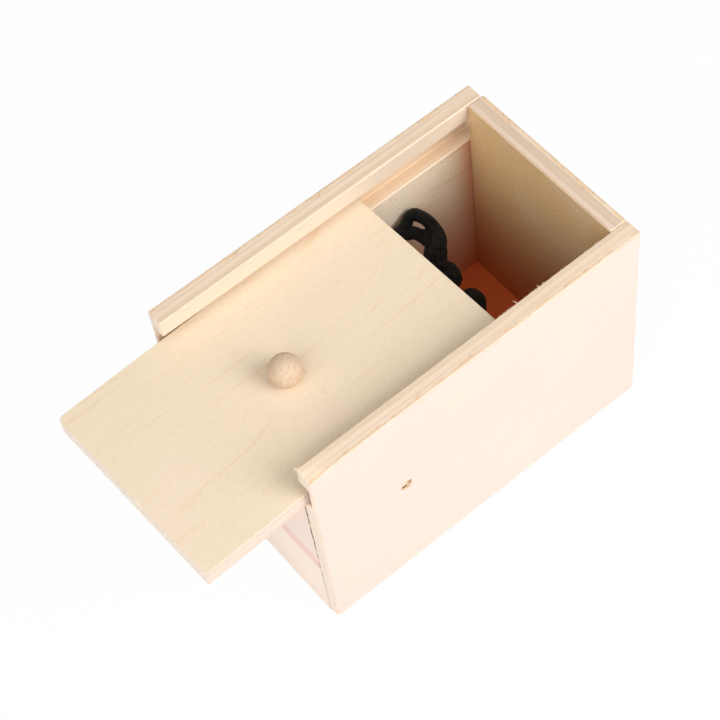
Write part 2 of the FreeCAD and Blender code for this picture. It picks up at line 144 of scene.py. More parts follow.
class WoodColours(bpy.types.PropertyGroup):
    """Colours of the bare wood"""

    face: colour("Lid face", "Sanded upper face of the lid", 240, 222, 194)
    outside: colour("Outside", "Sanded outer faces of the walls", 238, 213, 202)
    front: colour("Front", "Creamy lower part of the front wall", 255, 238, 224)
    # Painted shadow of the lid on the upper front wall, pinkish, and the redder line of its painted
    # penumbra
    flush: colour("Flush", "Pinkish heartwood on the upper part of the front wall", 250, 229, 219)
    penumbra_pink: colour("Rose", "Redder growth line where the heartwood starts", 244, 203, 196)
    # Painted shade of the open seam at the front corner
    seam_shade: colour("Crack", "Shadowy seam at the front corner", 128, 96, 78)
    lining: colour("Inside", "Inner faces of the walls and the underside of the lid", 255, 241, 216)
    amber: colour("Back lining", "Yellower inner face of the back wall", 232, 196, 142)
    streak: colour("Streak", "Thin growth lines on a face", 226, 196, 148)
    fleck: colour("Fleck", "Sparse orange-tan flecks along the grain", 222, 180, 120)
    fibre: colour("Fibre", "Fine darker fibres on a face", 228, 203, 170)
    blush: colour("Blush", "Pinkish patches on a face", 243, 220, 203)
    veneer: colour("Veneer edge", "Cut edge of a layer sawn along its grain", 239, 215, 188)
    chalky: colour("Chalky edge", "Rough pale inner layer on top of an end board", 228, 202, 181)
    weathered: colour("Weathered edge", "Greyer middle layer on top of an end board", 210, 184, 159)
    cross_ply: colour("Cross ply edge", "Cut edge of a layer sawn across its grain", 226, 200, 169)
    vein: colour("Edge vein", "Thin darker veins along a cut edge", 203, 170, 136)
    frayed: colour("Frayed edge", "Pale torn fibres on the cut edges", 252, 238, 222)
    rubbed: colour("Rubbed edge", "Pinkish tone of the lid's rubbed edges", 226, 213, 210)
    glue: colour("Glue line", "Thin line between two layers", 222, 193, 168)
    arris: colour("Arris", "Bruised outer corner of an edge", 231, 190, 142)
    lip: colour("Lip", "Inner face above the lid's groove", 238, 219, 197)
    groove: colour("Groove", "Fresh cut of the lid's groove", 231, 203, 170)
    # Painted shade: the warm dark tone low inside the box and in the back wall's shadow on the far side
    deep: colour("Deep inside", "Warm tone of the boards low inside the box", 208, 112, 36)
    floor: colour("Floor", "Thin reddish floor panel", 232, 112, 54)
    floor_grain: colour("Floor grain", "Darker grain of the floor panel", 210, 92, 42)
    knob: colour("Knob", "Turned ball", 220, 195, 167)
    knob_ring: colour("Knob rings", "Growth rings on the ball", 194, 152, 114)
    dowel: colour("Dowel", "Dowel and sleeves", 206, 164, 112)
    dowel_end: colour("Dowel end", "Torn brown end of the dowel", 140, 92, 48)


class HardColours(bpy.types.PropertyGroup):
    """Colours of the rubber and the wires"""

    rubber: colour("Rubber", "Black moulded rubber", 5, 4, 3)
    bloom: colour("Rubber bloom", "Greyer bloom on the rubber's high spots", 16, 14, 12)
    steel: colour("Spring steel", "Drawn wire of the spring and staple", 176, 176, 178)
    tie: colour("Tie wire", "Dark annealed wire round the scorpion", 92, 88, 84)


class StageSettings(bpy.types.PropertyGroup):
    """Camera, light and floor"""

    place: FloatVectorProperty(
        name="Camera place", description="Where the camera stands", subtype="TRANSLATION",
        default=(-0.15523, -0.23196, 0.48098), precision=5,
    )
    turn: FloatVectorProperty(
        name="Camera turn", description="How the camera is turned", subtype="EULER",
        default=tuple(math.radians(a) for a in (31.678, 4.850, -39.252)),
    )
    lens: number("Lens", "Focal length in mm on a 36 mm sensor", 103.72)
    key: power("Key light", "Power of the lamp on the right", 6.0)
    fill: power("Fill light", "Power of the lamp on the left", 5.0)
    top: power("Top light", "Power of the lamp overhead", 2.1)
    back: power("Back light", "Power of the lamp behind", 2.2)
    sky: number("Sky", "Strength of the even light all round", 0.2)
    floor_white: number(
        "Floor white", "Share of plain white in what the camera sees of the floor", 0.96,
        subtype="FACTOR", min=0.0, max=1.0,
    )


class ScorpionSettings(bpy.types.PropertyGroup):
    """Sizes of the rubber scorpion, its ties and the spring"""

    skin: length("Skin grain", "Size of the cells that melt the limbs into one moulding", 0.215)
    wrinkle: length("Wrinkle depth", "Depth of the creases in the rubber", 0.22)
    wrinkle_size: length("Wrinkle size", "Spacing of the creases", 1.5)
    wire: length("Spring wire", "Radius of the spring's wire", 0.4)
    coil: length("Coil", "Radius of the spring's coil at the middle of its wire", 4.4)
    pitch: length("Coil pitch", "Distance from one turn of the coil to the next", 1.3)
    tie: length("Tie wire", "Radius of the wires that tie the scorpion down", 0.35)


class SceneSettings(bpy.types.PropertyGroup):
    """Everything that the panel shows"""

    boards: PointerProperty(type=BoardSettings)
    wood: PointerProperty(type=WoodColours)
    hard: PointerProperty(type=HardColours)
    stage: PointerProperty(type=StageSettings)
    scorpion: PointerProperty(type=ScorpionSettings)


def settings():
    return bpy.context.scene.scare_box


# Shader maths


class Socket:
    """A node's output that takes part in sums as a number does."""

    def __init__(self, paint, socket):
        self.paint = paint
        self.socket = socket

    def _sum(self, operation, first, second=0.0):
        return self.paint.node("ShaderNodeMath", {"operation": operation}, {0: first, 1: second})

    def __add__(self, other):
        return self._sum("ADD", self, other)

    __radd__ = __add__

    def __sub__(self, other):
        return self._sum("SUBTRACT", self, other)

    def __rsub__(self, other):
        return self._sum("SUBTRACT", other, self)

    def __mul__(self, other):
        return self._sum("MULTIPLY", self, other)

    __rmul__ = __mul__

    def __truediv__(self, other):
        return self._sum("DIVIDE", self, other)

    def __abs__(self):
        return self._sum("ABSOLUTE", self)

    def between(self, low, high):
        """0 up to low, 1 from high on, and a smooth step in between."""
        span = {"Value": self, "From Min": low, "From Max": high}
        return self.paint.node("ShaderNodeMapRange", {"interpolation_type": "SMOOTHSTEP"}, span)


class Paint:
    """One procedural material. Patterns are laid out in millimetres on Object coordinates."""

    def __init__(self, name):
        self.material = bpy.data.materials.new(name)
        self.material.use_nodes = True
        self.tree = self.material.node_tree
        self.shader = self.tree.nodes["Principled BSDF"]
        self.coords = self.node("ShaderNodeTexCoord", output="Object")

    def feed(self, socket, value):
        if isinstance(value, Socket):
            self.tree.links.new(value.socket, socket)
        elif socket.type == "RGBA" and len(value) == 3:
            socket.default_value = (*value, 1.0)
        else:
            socket.default_value = value

    def node(self, kind, options=None, inputs=None, output=0):
        """Adds a node: its options first, then its sockets, each a value or another node's output."""
        made = self.tree.nodes.new(kind)
        for key, value in (options or {}).items():
            if key == "stops":
                self._set_stops(made.color_ramp.elements, value)
            else:
                setattr(made, key, value)
        for key, value in (inputs or {}).items():
            self.feed(made.inputs[key], value)
        return Socket(self, made.outputs[output])

    def _set_stops(self, elements, stops):
        while len(elements) < len(stops):
            elements.new(1.0)
        for element, (place, tint) in zip(elements, stops):
            element.position = place
            element.color = (*tint, 1.0)

    def axes(self, vector=None):
        """The three parts of a vector; of the place in millimetres where none is given."""
        if vector is None:
            scaled = {0: self.coords, "Scale": 1 / MM}
            vector = self.node("ShaderNodeVectorMath", {"operation": "SCALE"}, scaled)
        parts = self.node("ShaderNodeSeparateXYZ", inputs={0: vector}).socket.node
        return [Socket(self, part) for part in parts.outputs]

    def laid(self, rates, turn=(0.0, 0.0, 0.0), shift=(0.0, 0.0, 0.0)):
        """Object coordinates stretched by a rate per millimetre on each axis, turned and shifted."""
        inputs = {"Vector": self.coords, "Rotation": turn, "Location": shift}
        inputs["Scale"] = [rate / MM for rate in rates]
        return self.node("ShaderNodeMapping", inputs=inputs)

    def noise(self, rates, detail=2.0, roughness=0.5, distortion=0.0, **laying):
        """A cloudy pattern, which laying may turn or shift."""
        inputs = {"Vector": self.laid(rates, **laying), "Scale": 1.0, "Detail": detail}
        inputs.update({"Roughness": roughness, "Distortion": distortion})
        return self.node("ShaderNodeTexNoise", inputs=inputs)

    def maths(self, operation, value):
        """A sum that takes one value, such as a sine."""
        return self.node("ShaderNodeMath", {"operation": operation}, {0: value})

    def ramp(self, factor, stops):
        return self.node("ShaderNodeValToRGB", {"stops": stops}, {"Fac": factor})

    def mix(self, factor, first, second):
        options = {"data_type": "RGBA", "clamp_factor": True}
        return self.node("ShaderNodeMix", options, {0: factor, 6: first, 7: second}, output=2)

    def finish(self, base, roughness, height=None, depth=0.0, specular=0.5):
        """Feeds the shader; height is a pattern whose relief is depth deep, in millimetres."""
        self.feed(self.shader.inputs["Base Color"], base)
        self.feed(self.shader.inputs["Roughness"], roughness)
        self.shader.inputs["Specular IOR Level"].default_value = specular
        if height is not None:
            inputs = {"Strength": 1.0, "Distance": depth * MM, "Height": height}
            self.feed(self.shader.inputs["Normal"], self.node("ShaderNodeBump", inputs=inputs))
        return self.material


def rates(axis, along, across):
    """A rate on one axis and another on the two axes across it."""
    return [along if i == axis else across for i in range(3)]


def fine_grain(paint, axis, ground, tint, seed, strength, speckle):
    """Colour and relief of a sanded face whose grain runs along an axis."""
    shift = (seed, seed * 0.7, seed * 1.3)
    field = paint.noise(rates(axis, 0.007, 0.05), 2.0, 0.45, shift=shift)
    rings = paint.maths("SINE", field * 95.0)
    broken = paint.noise(rates(axis, 0.02, 0.3), 3.0, 0.6, shift=shift)
    flecks = paint.noise(rates(axis, 0.28, 3.6), 2.0, 0.6, shift=shift)
    fibres = paint.noise(rates(axis, 0.6, 6.5), 2.0, 0.6, shift=shift)
    mottle = paint.noise((0.9, 0.9, 0.9), 4.0, 0.65, shift=shift)
    patches = paint.noise((0.045, 0.045, 0.045), 2.0, shift=shift)
    base = paint.mix(patches.between(0.45, 0.7) * 0.3, ground, tint.blush)
    streaks = rings.between(0.7, 1.0) * broken.between(0.4, 0.65)
    base = paint.mix(streaks * 0.3 * strength, base, tint.streak)
    dashes = flecks.between(0.6, 0.74) * broken.between(0.48, 0.6)
    base = paint.mix(dashes * 0.35 * strength, base, tint.fleck)
    base = paint.mix(fibres.between(0.42, 0.72) * 0.3 * strength, base, tint.fibre)
    base = paint.mix(mottle.between(0.45, 0.75) * 0.24 * strength, base, tint.fibre)
    specks = paint.noise(rates(axis, 1.5, 2.8), 3.0, 0.7, shift=shift)
    base = paint.mix(specks.between(0.44, 0.66) * strength * speckle, base, tint.dowel_end)
    return base, fibres * 0.5 + mottle * 0.5


# What a cut shows, from the inner face, 0, to the outer one, 1
SIDE_LAYERS = (
    (0.00, "veneer"), (0.05, "veneer"), (0.11, "cross_ply"), (0.31, "cross_ply"), (0.36, "veneer"),
    (0.58, "veneer"), (0.62, "glue"), (0.64, "glue"), (0.68, "veneer"), (1.00, "veneer"),
)
END_LAYERS = (
    (0.00, "chalky"), (0.27, "chalky"), (0.30, "glue"), (0.35, "weathered"), (0.72, "weathered"),
    (0.78, "veneer"), (1.00, "veneer"),
)


def cut_layers(paint, axis, layer, tint, seed, layers, worn):
    """Colour of a sawn plywood edge; layer runs from 0 on the inner face to 1 on the outer one.

    layers are the colours across the cut, and worn is how far the outer corner may be bruised."""
    shift = (seed * 1.7, seed, seed * 0.4)
    wobble = paint.noise(rates(axis, 0.05, 0.2), 3.0, shift=shift)
    lines = paint.noise(rates(axis, 0.03, 4.2), 3.0, 0.7, shift=shift)
    bruise = paint.noise(rates(axis, 0.16, 0.5), 4.0, 0.7, shift=shift)
    place = layer + (wobble - 0.5) * 0.16 + (lines - 0.5) * 0.1
    base = paint.ramp(place, [(at, tuple(getattr(tint, shade))) for at, shade in layers])
    base = paint.mix(lines.between(0.44, 0.66) * 0.6, base, tint.cross_ply)
    veins = paint.noise(rates(axis, 0.02, 2.6), 3.0, 0.7, shift=shift[::-1])
    base = paint.mix(veins.between(0.54, 0.64) * 0.42, base, tint.vein)
    worn = (layer + bruise - 0.5).between(0.74, 0.92) * worn
    base = paint.mix(worn * 0.75, base, tint.arris)
    specks = paint.noise(rates(axis, 0.8, 1.4), 2.0, 0.6, shift=shift)
    return paint.mix(worn * specks.between(0.54, 0.66) * 0.42, base, tint.dowel_end), lines


# Spans over which the painted shadow of the lid, the painted shade inside the box and the painted shade of
# the seam come or go, in millimetres from the frame's origin
LID_SHADOW_ENDS = (-14.0, 4.0)
CORNER_SHADE = (34.0, 48.0)
CORNER_RISE = (8.0, 48.0)
SIDE_SHADE_SPAN = (-6.0, 52.0)
END_SHADE_SPAN = (-6.0, 56.0)
SEAM_RISE = (10.0, 44.0)
# Span over which the tear round the dowel fades, in millimetres from the pivot
TEAR_ENDS = (3.5, 4.0)


class Plywood:
    """Three-ply board: fine-grained faces, and its layers wherever it is cut.

    thick and along are the axes across it and along its grain, inner and outer the places of its two
    faces in metres. layer runs from 0 on the inner face to 1 on the outer one."""

    def __init__(self, name, thick, along, inner, outer):
        self.tint = settings().wood
        self.paint = Paint(name)
        self.thick = thick
        self.along = along
        self.depth = abs(outer - inner)
        self.places = self.paint.axes()
        self.facing = self.paint.axes(self.paint.node("ShaderNodeTexCoord", output="Normal"))
        self.layer = (self.places[thick] - inner / MM) / ((outer - inner) / MM)
        self.outside = self.layer.between(0.4, 0.6)

    def faces(self, axis, low, high):
        """1 where the surface faces along an axis, either way."""
        return abs(self.facing[axis]).between(low, high)

    def finish(
        self, seed, skins, strength=1.0, bleached=0.15, layers=SIDE_LAYERS, speckle=0.05,
        groove=None, lid_shadow_line=None,
    ):
        """The whole material.

        skins are the colours of the inner and the outer face, strength how plainly the outer face shows
        its grain, bleached how pale the cut edges are, layers what the cut shows, speckle how mottled
        the faces are, groove the heights between which a groove shows the fresh cut, and lid_shadow_line
        the height above which the outer face gets a painted pinkish shadow of the lid and the seam a
        painted shade."""
        paint, tint, along = self.paint, self.tint, self.along
        lies_flat = self.thick == Z
        ground = paint.mix(self.outside, *skins)
        if lid_shadow_line:
            # Painted shadow of the lid on the front wall
            ground = self.heartwood(ground, lid_shadow_line)
        plain = 1 - self.outside * (1 - strength)
        face, relief = fine_grain(paint, along, ground, tint, seed, plain, speckle)
        worn = 1.0 if lies_flat else self.faces(Z, 0.15, 0.35)
        edge, lines = cut_layers(paint, along, self.layer, tint, seed, layers, worn)
        edge = paint.mix(bleached, edge, tint.rubbed if lies_flat else tint.frayed)
        edge = paint.mix(self.faces(along, 0.6, 0.9) * 0.8, edge, tint.frayed)
        if not lies_flat:
            # Painted shade on the inner faces
            face = self.paint_inside_shade(face)
        if groove:
            edge, face = self.fresh_groove(edge, face, lines, groove)
            face = self.torn_layer(face)
        if lid_shadow_line:
            # Painted shade in the seam at the front corner
            edge = self.paint_seam_shade(edge)
        broad = self.faces(self.thick, 0.55, 0.85)
        height = relief * broad + lines * (1 - broad) * 1.6
        return paint.finish(paint.mix(broad, edge, face), 0.62 + relief * 0.12, height, 0.07, 0.25)

    def heartwood(self, ground, lid_shadow_line):
        """Painted shadow of the lid on one half of the outer face: a pinkish tone, with a redder painted
        penumbra line where it starts.
        """
        paint, tint = self.paint, self.tint
        level = self.places[Z] - lid_shadow_line + paint.noise(rates(self.along, 0.03, 0.2), 2.0) * 2.0
        reach = self.outside * (1 - self.places[self.along].between(*LID_SHADOW_ENDS))
        ground = paint.mix(level.between(0.4, 1.6) * reach, ground, tint.flush)
        line = level.between(-3.2, 0.4) * (1 - level.between(1.0, 5.5))
        return paint.mix(line * reach * 0.8, ground, tint.penumbra_pink)

    def paint_inside_shade(self, face):
        """Painted shade: a warm, darker tone on an inner face low in the box and, on a side, in the back
        wall's shadow next to it.
        """
        height = self.places[Z]
        if self.thick == Y:
            corner = self.places[X].between(*CORNER_SHADE)
            inside_shade = corner * corner * (0.24 + height.between(*CORNER_RISE) * 0.56)
            inside_shade = inside_shade + (1 - height.between(*SIDE_SHADE_SPAN)) * 0.75
        else:
            inside_shade = (1 - height.between(*END_SHADE_SPAN)) * 0.84
        return self.paint.mix(inside_shade * (1 - self.layer.between(0.02, 0.12)), face, self.tint.deep)

    def fresh_groove(self, edge, face, lines, groove):
        """The streaked cut of the lid's groove, and the paler lip above it."""
        paint, tint, layer, height = self.paint, self.tint, self.layer, self.places[Z]
        low, high = (place / MM for place in groove)
        back = settings().boards.groove_depth / self.depth
        cut = layer.between(0.02, 0.06) * (1 - layer.between(back + 0.03, back + 0.07))
        cut = cut * height.between(low - 0.2, low) * (1 - height.between(high, high + 0.2))
        fresh = paint.mix(layer.between(0.2, 0.4), tint.veneer, tint.groove)
        fresh = paint.mix(lines.between(0.42, 0.6) * 0.9, fresh, tint.veneer)
        lip = height.between(high - 0.5, high + 0.5) * (1 - self.outside)
        return paint.mix(cut, edge, fresh), paint.mix(lip, paint.mix(cut, face, fresh), tint.lip)

    def torn_layer(self, face):
        """Brown strips where the outer layer is torn round the dowel's end."""
        paint, tint = self.paint, self.tint
        torn = self.layer.between(0.80, 0.82) * (1 - self.layer.between(0.945, 0.965))
        for axis in (X, Z):
            torn = torn * (1 - abs(self.places[axis] - PIVOT[axis] / MM).between(*TEAR_ENDS))
        strips = paint.noise((0.5, 0.5, 1.1), 2.0, 0.5, turn=(0.0, 0.7, 0.0))
        return paint.mix(torn, face, paint.mix(strips.between(0.47, 0.55), tint.groove, tint.dowel_end))

    def paint_seam_shade(self, edge):
        """Painted shade in the open seam at the edge of the outer layer: broken, and plainer towards its
        top.
        """
        broken = self.paint.noise((0.3, 0.3, 0.42), 3.0, 0.7).between(0.4, 0.56) * 0.75
        seam = self.layer.between(0.97, 0.99) * self.faces(self.along, 0.5, 0.7)
        seam = seam * (0.4 + self.places[Z].between(*SEAM_RISE) * 0.6)
        return self.paint.mix(seam * (0.25 + broken), edge, self.tint.seam_shade)


def floor_board(name):
    """Thin reddish panel with a darker grain."""
    tint = settings().wood
    paint = Paint(name)
    grain = paint.noise((0.02, 0.5, 0.5), 3.0, 0.6, 0.4)
    fibres = paint.noise((0.3, 4.0, 4.0), 2.0)
    base = paint.mix(grain.between(0.4, 0.7) * 0.25, tint.floor, tint.floor_grain)
    base = paint.mix(fibres.between(0.5, 0.8) * 0.2, base, tint.floor_grain)
    return paint.finish(base, 0.6 + fibres * 0.2, fibres, 0.05, 0.3)


# Where the pith of the knob's wood lay, in millimetres from the ball's centre
PITH_AWAY = (-3.0, 5.0)


def turned_wood(name, centre, pale, ring):
    """Wood turned about a standing axis, with growth rings that run through it."""
    paint = Paint(name)
    x, y = paint.axes()[:2]
    wander = paint.noise((0.12, 0.12, 0.05), 2.0)
    off_x = x - (centre.x / MM + PITH_AWAY[X])
    off_y = y - (centre.y / MM + PITH_AWAY[Y])
    reach = paint.maths("SQRT", off_x * off_x + off_y * off_y)
    rings = paint.maths("SINE", (reach + wander * 2.2) * 5.2)
    fibres = paint.noise((1.8, 3.2, 0.5), 3.0, 0.65, turn=(0.5, 0.9, 0.0))
    base = paint.mix(rings.between(0.0, 1.0) * 0.12, pale, ring)
    base = paint.mix(fibres.between(0.42, 0.7) * 0.5, base, ring)
    return paint.finish(base, 0.48 + fibres * 0.16, fibres, 0.05, 0.3)


def straight_wood(name, axis, pale, dark, seed):
    """Plain sawn wood with its grain along one axis."""
    paint = Paint(name)
    shift = (seed, seed * 0.5, seed * 1.9)
    grain = paint.noise(rates(axis, 0.02, 0.7), 3.0, 0.55, 0.5, shift=shift)
    fibres = paint.noise(rates(axis, 0.3, 5.0), 2.0, 0.6, shift=shift)
    base = paint.mix(grain.between(0.42, 0.7) * 0.6, pale, dark)
    base = paint.mix(fibres.between(0.5, 0.8) * 0.35, base, dark)
    return paint.finish(base, 0.6 + fibres * 0.15, fibres * 0.7 + grain * 0.3, 0.07, 0.3)


def torn_end(name):
    """A dowel: straight wood whose two ends are brown and torn."""
    tint = settings().wood
    paint = Paint(name)
    places = paint.axes()
    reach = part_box("pivot_dowel")[1].y / MM
    fibres = paint.noise((4.0, 0.25, 4.0), 3.0, 0.65)
    specks = paint.noise((0.5, 0.5, 1.5), 3.0, 0.6, turn=(0.0, 0.6, 0.0))
    body = paint.mix(fibres.between(0.45, 0.75) * 0.5, tint.dowel, tint.dowel_end)
    end = paint.mix(specks.between(0.42, 0.56), tint.dowel_end, tint.groove)
    tip = abs(places[Y]).between(reach - 1.2, reach - 0.8)
    return paint.finish(paint.mix(tip, body, end), 0.7 + fibres * 0.1, specks, 0.2, 0.3)


def moulded_rubber(name):
    """Black rubber: a soft sheen, fine pimples and a greyer bloom on its high spots."""
    tint = settings().hard
    paint = Paint(name)
    pimples = paint.noise((2.4, 2.4, 2.4), 3.0, 0.65)
    creases = paint.noise((0.5, 1.4, 1.4), 2.0, 0.5, 1.2)
    polish = paint.noise((0.33, 0.33, 0.33), 2.0, shift=(4.0, 1.0, 2.0))
    base = paint.mix(creases.between(0.5, 0.72) * pimples.between(0.4, 0.7), tint.rubber, tint.bloom)
    rough = 0.44 - polish.between(0.48, 0.6) * 0.24
    return paint.finish(base, rough + pimples * 0.06, pimples + creases * 1.2, 0.8, 0.3)


def drawn_wire(name, tint):
    """Bright wire with fine marks and dull patches."""
    paint = Paint(name)
    marks = paint.noise((3.0, 3.0, 3.0), 3.0, 0.6)
    dull = paint.noise((0.4, 0.4, 0.4), 2.0)
    base = paint.mix(dull.between(0.45, 0.7) * 0.4, tint, tuple(0.6 * part for part in tint))
    paint.shader.inputs["Metallic"].default_value = 1.0
    return paint.finish(base, 0.28 + marks * 0.2, marks, 0.01)


# Modelling tools


def choose(*pieces):
    """Selects these pieces and nothing else, and makes the first one active."""
    bpy.ops.object.select_all(action="DESELECT")
    for piece in pieces:
        piece.select_set(True)
    bpy.context.view_layer.objects.active = pieces[0]


@contextlib.contextmanager
def editing(piece):
    """Edit mode on one piece, with all of it selected at the start."""
    choose(piece)
    bpy.ops.object.mode_set(mode="EDIT")
    bpy.ops.mesh.select_all(action="SELECT")
    yield piece
    bpy.ops.object.mode_set(mode="OBJECT")


def pick(piece, kind, test):
    """Selects the faces or edges of the piece in edit mode that pass a test, and nothing else."""
    bpy.ops.mesh.select_mode(type="FACE" if kind == "faces" else "EDGE")
    bpy.ops.mesh.select_all(action="DESELECT")
    mesh = bmesh.from_edit_mesh(piece.data)
    for item in getattr(mesh, kind):
        item.select_set(bool(test(item)))
    bmesh.update_edit_mesh(piece.data)


def take(name, scale=None):
    """Names the chosen object and settles its place and size into its mesh."""
    piece = bpy.context.object
    piece.name = name
    if scale:
        piece.scale = scale
    bpy.ops.object.transform_apply(location=True, rotation=True, scale=True)
    return piece


def add(primitive, name, scale=None, **options):
    """Adds a primitive with nothing else selected, and settles it."""
    bpy.ops.object.select_all(action="DESELECT")
    primitive(**options)
    return take(name, scale)


def modify(piece, kind, **options):
    """Adds a modifier, sets it and applies it."""
    choose(piece)
    modifier = piece.modifiers.new(kind.lower(), kind)
    for key, value in options.items():
        setattr(modifier, key, value)
    bpy.ops.object.modifier_apply(modifier=modifier.name)


def thick_curve(name, runs, kind, fineness):
    """Round limbs or wires: each run a list of places and radii along a curve, made a mesh."""
    curve = bpy.data.curves.new(name, "CURVE")
    curve.dimensions = "3D"
    curve.bevel_depth = 1.0
    curve.bevel_resolution = fineness
    curve.use_fill_caps = True
    for run in runs:
        spline = curve.splines.new(kind)
        points = spline.bezier_points if kind == "BEZIER" else spline.points
        points.add(len(run) - 1)
        for point, (place, radius) in zip(points, run):
            point.co = place if kind == "BEZIER" else (*place, 1.0)
            point.radius = radius
        if kind == "BEZIER":
            for point in points:
                point.handle_left_type = point.handle_right_type = "AUTO"
    piece = bpy.data.objects.new(name, curve)
    bpy.context.scene.collection.objects.link(piece)
    choose(piece)
    bpy.ops.object.convert(target="MESH")
    return bpy.context.object


def rounded(corners, radius, steps=8):
    """A route through corners, each rounded by an arc."""
    route = [corners[0]]
    for before, corner, after in zip(corners, corners[1:], corners[2:]):
        one = (before - corner).normalized()
        two = (after - corner).normalized()
        half = one.angle(two) / 2
        middle = corner + (one + two).normalized() * radius / math.sin(half)
        first = corner + one * radius / math.tan(half) - middle
        last = corner + two * radius / math.tan(half) - middle
        route += [middle + first.slerp(last, step / steps) * radius for step in range(steps + 1)]
    return route + [corners[-1]]


def join(name, pieces):
    """Makes one named piece of several."""
    choose(*pieces)
    bpy.ops.object.join()
    pieces[0].name = name
    return pieces[0]


def cross_bar(name, sides, radius, depth, centre, scale=None):
    """A round bar that lies across the box."""
    return add(
        bpy.ops.mesh.primitive_cylinder_add, name, scale, vertices=sides, radius=radius, depth=depth,
        location=centre, rotation=(math.pi / 2, 0.0, 0.0),
    )


def cut_away(piece, cutter):
    """Cuts a shape out of a piece and throws the shape away."""
    modify(piece, "BOOLEAN", operation="DIFFERENCE", object=cutter, solver="EXACT")
    bpy.data.objects.remove(cutter)


# Turns, in degrees, up to which a board, a round piece and the dowel are shaded smooth
BOARD_TURN, ROUND_TURN, DOWEL_TURN = 35.0, 50.0, 30.0


def smooth(piece, degrees=BOARD_TURN):
    """Shades a piece smooth, apart from edges that turn by more than some degrees."""
    choose(piece)
    bpy.ops.object.shade_smooth_by_angle(angle=math.radians(degrees))
    modify(piece, "WEIGHTED_NORMAL", keep_sharp=True)


def dress(piece, material, body, slot, *nodes):
    """Gives a finished piece its material and body, and lets it stand for its CAD nodes."""
    piece.data.materials.clear()
    piece.data.materials.append(material)
    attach(piece, body)
    if nodes:
        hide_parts(*nodes)


def paint_node(node, material):
    """A better finish on a CAD node that stays as it is."""
    mesh = frame["nodes"][node].data
    mesh.materials.clear()
    mesh.materials.append(material)


# Edges that turn by more than this are rounded, and those longer than this are divided
SHARP_TURN = math.radians(40)
LONG_EDGE = 10 * MM
# A face belongs to a rounding where no part of its normal reaches this
FLAT_NORMAL = 0.98
# How often a long edge of a side and of an end board is divided
SIDE_CUTS, END_CUTS = 60, 36


def runs_along(edge, axis):
    way = edge.verts[1].co - edge.verts[0].co
    return abs(way[axis]) > 0.999 * way.length


def face_outwards():
    """Turns all faces of the piece in edit mode outwards."""
    bpy.ops.mesh.select_all(action="SELECT")
    bpy.ops.mesh.normals_make_consistent(inside=False)


def round_edges(piece, radius, segments):
    modify(piece, "BEVEL", width=radius, segments=segments, limit_method="ANGLE", angle_limit=SHARP_TURN)


def roughen(piece, name, grain, depth, level, group=""):
    """Pushes the surface, or one group of its points, in and out by a cloudy pattern."""
    clouds = bpy.data.textures.new(name, "CLOUDS")
    clouds.noise_scale = grain
    pattern = {"texture": clouds, "texture_coords": "LOCAL", "vertex_group": group}
    modify(piece, "DISPLACE", strength=depth, mid_level=level, **pattern)


def wear(piece, axis, cuts):
    """Rounds a board's edges, divides them along one axis and nicks them here and there."""
    boards = settings().boards
    round_edges(piece, boards.edge_round, 3)
    with editing(piece):
        pick(piece, "edges", lambda edge: runs_along(edge, axis) and edge.calc_length() > LONG_EDGE)
        bpy.ops.mesh.subdivide(number_cuts=cuts)
    worn, flat = set(), set()
    for polygon in piece.data.polygons:
        rounding = max(abs(part) for part in polygon.normal) < FLAT_NORMAL
        (worn if rounding else flat).update(polygon.vertices)
    piece.vertex_groups.new(name="arris").add(list(worn - flat), 1.0, "REPLACE")
    roughen(piece, piece.name + "_nicks", boards.wear_grain, boards.edge_wear, 1.0, "arris")
    piece.vertex_groups.clear()


def end_board(name, low, high):
    """A plain board between two corners, worn along the edges that run across the box."""
    middle = (low + high) / 2
    piece = add(bpy.ops.mesh.primitive_cube_add, name, high - low, size=1.0, location=middle)
    wear(piece, Y, END_CUTS)
    return piece


def grooved_board(name, low, high, side):
    """A side board: its section is cut out of a plane and drawn out along the box."""
    boards = settings().boards
    groove = groove_heights()
    inner = high.y if side < 0 else low.y
    back = inner + side * boards.groove_depth
    middle = (low + high) / 2
    piece = add(
        bpy.ops.mesh.primitive_plane_add, name, (high.z - low.z, high.y - low.y, 1.0), size=1.0,
        location=(low.x, middle.y, middle.z), rotation=(0.0, math.pi / 2, 0.0),
    )
    cuts = [((0, 0, height), (0, 0, 1)) for height in groove] + [((0, back, 0), (0, 1, 0))]
    with editing(piece):
        for point, normal in cuts:
            bpy.ops.mesh.select_all(action="SELECT")
            bpy.ops.mesh.bisect(plane_co=point, plane_no=normal)

        def in_groove(face):
            centre = face.calc_center_median()
            return groove[0] < centre.z < groove[1] and (centre.y - back) * side < 0

        pick(piece, "faces", in_groove)
        bpy.ops.mesh.delete(type="FACE")
        bpy.ops.mesh.select_all(action="SELECT")
        bpy.ops.mesh.extrude_region_move(TRANSFORM_OT_translate={"value": (high.x - low.x, 0.0, 0.0)})
        face_outwards()
        bpy.ops.mesh.dissolve_limited(angle_limit=math.radians(1.0))
    return piece


def groove_heights():
    """Lower and upper face of the lid's grooves."""
    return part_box("front_wall")[1].z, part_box("back_wall")[1].z - settings().boards.lip_height


# Torn fibres along an upper edge: thickness in millimetres, lean as a share of their length
FIBRES = 90
FIBRE_DROP = 0.15 * MM
FIBRE_END = 0.6 * MM
FIBRE_THICK = (0.04, 0.09)
FIBRE_LEAN = 0.28
# Longer slivers on the near side: place along the box, length and lean, in millimetres
SLIVERS = ((15.8, 1.3, -0.4), (22.4, 0.8, 0.3), (-50.4, 0.7, -0.7), (-50.6, 0.3, -0.9), (-49.8, 0.6, -0.3))
SLIVER_ROOT = 0.2 * MM
SLIVER_RISE = 0.12


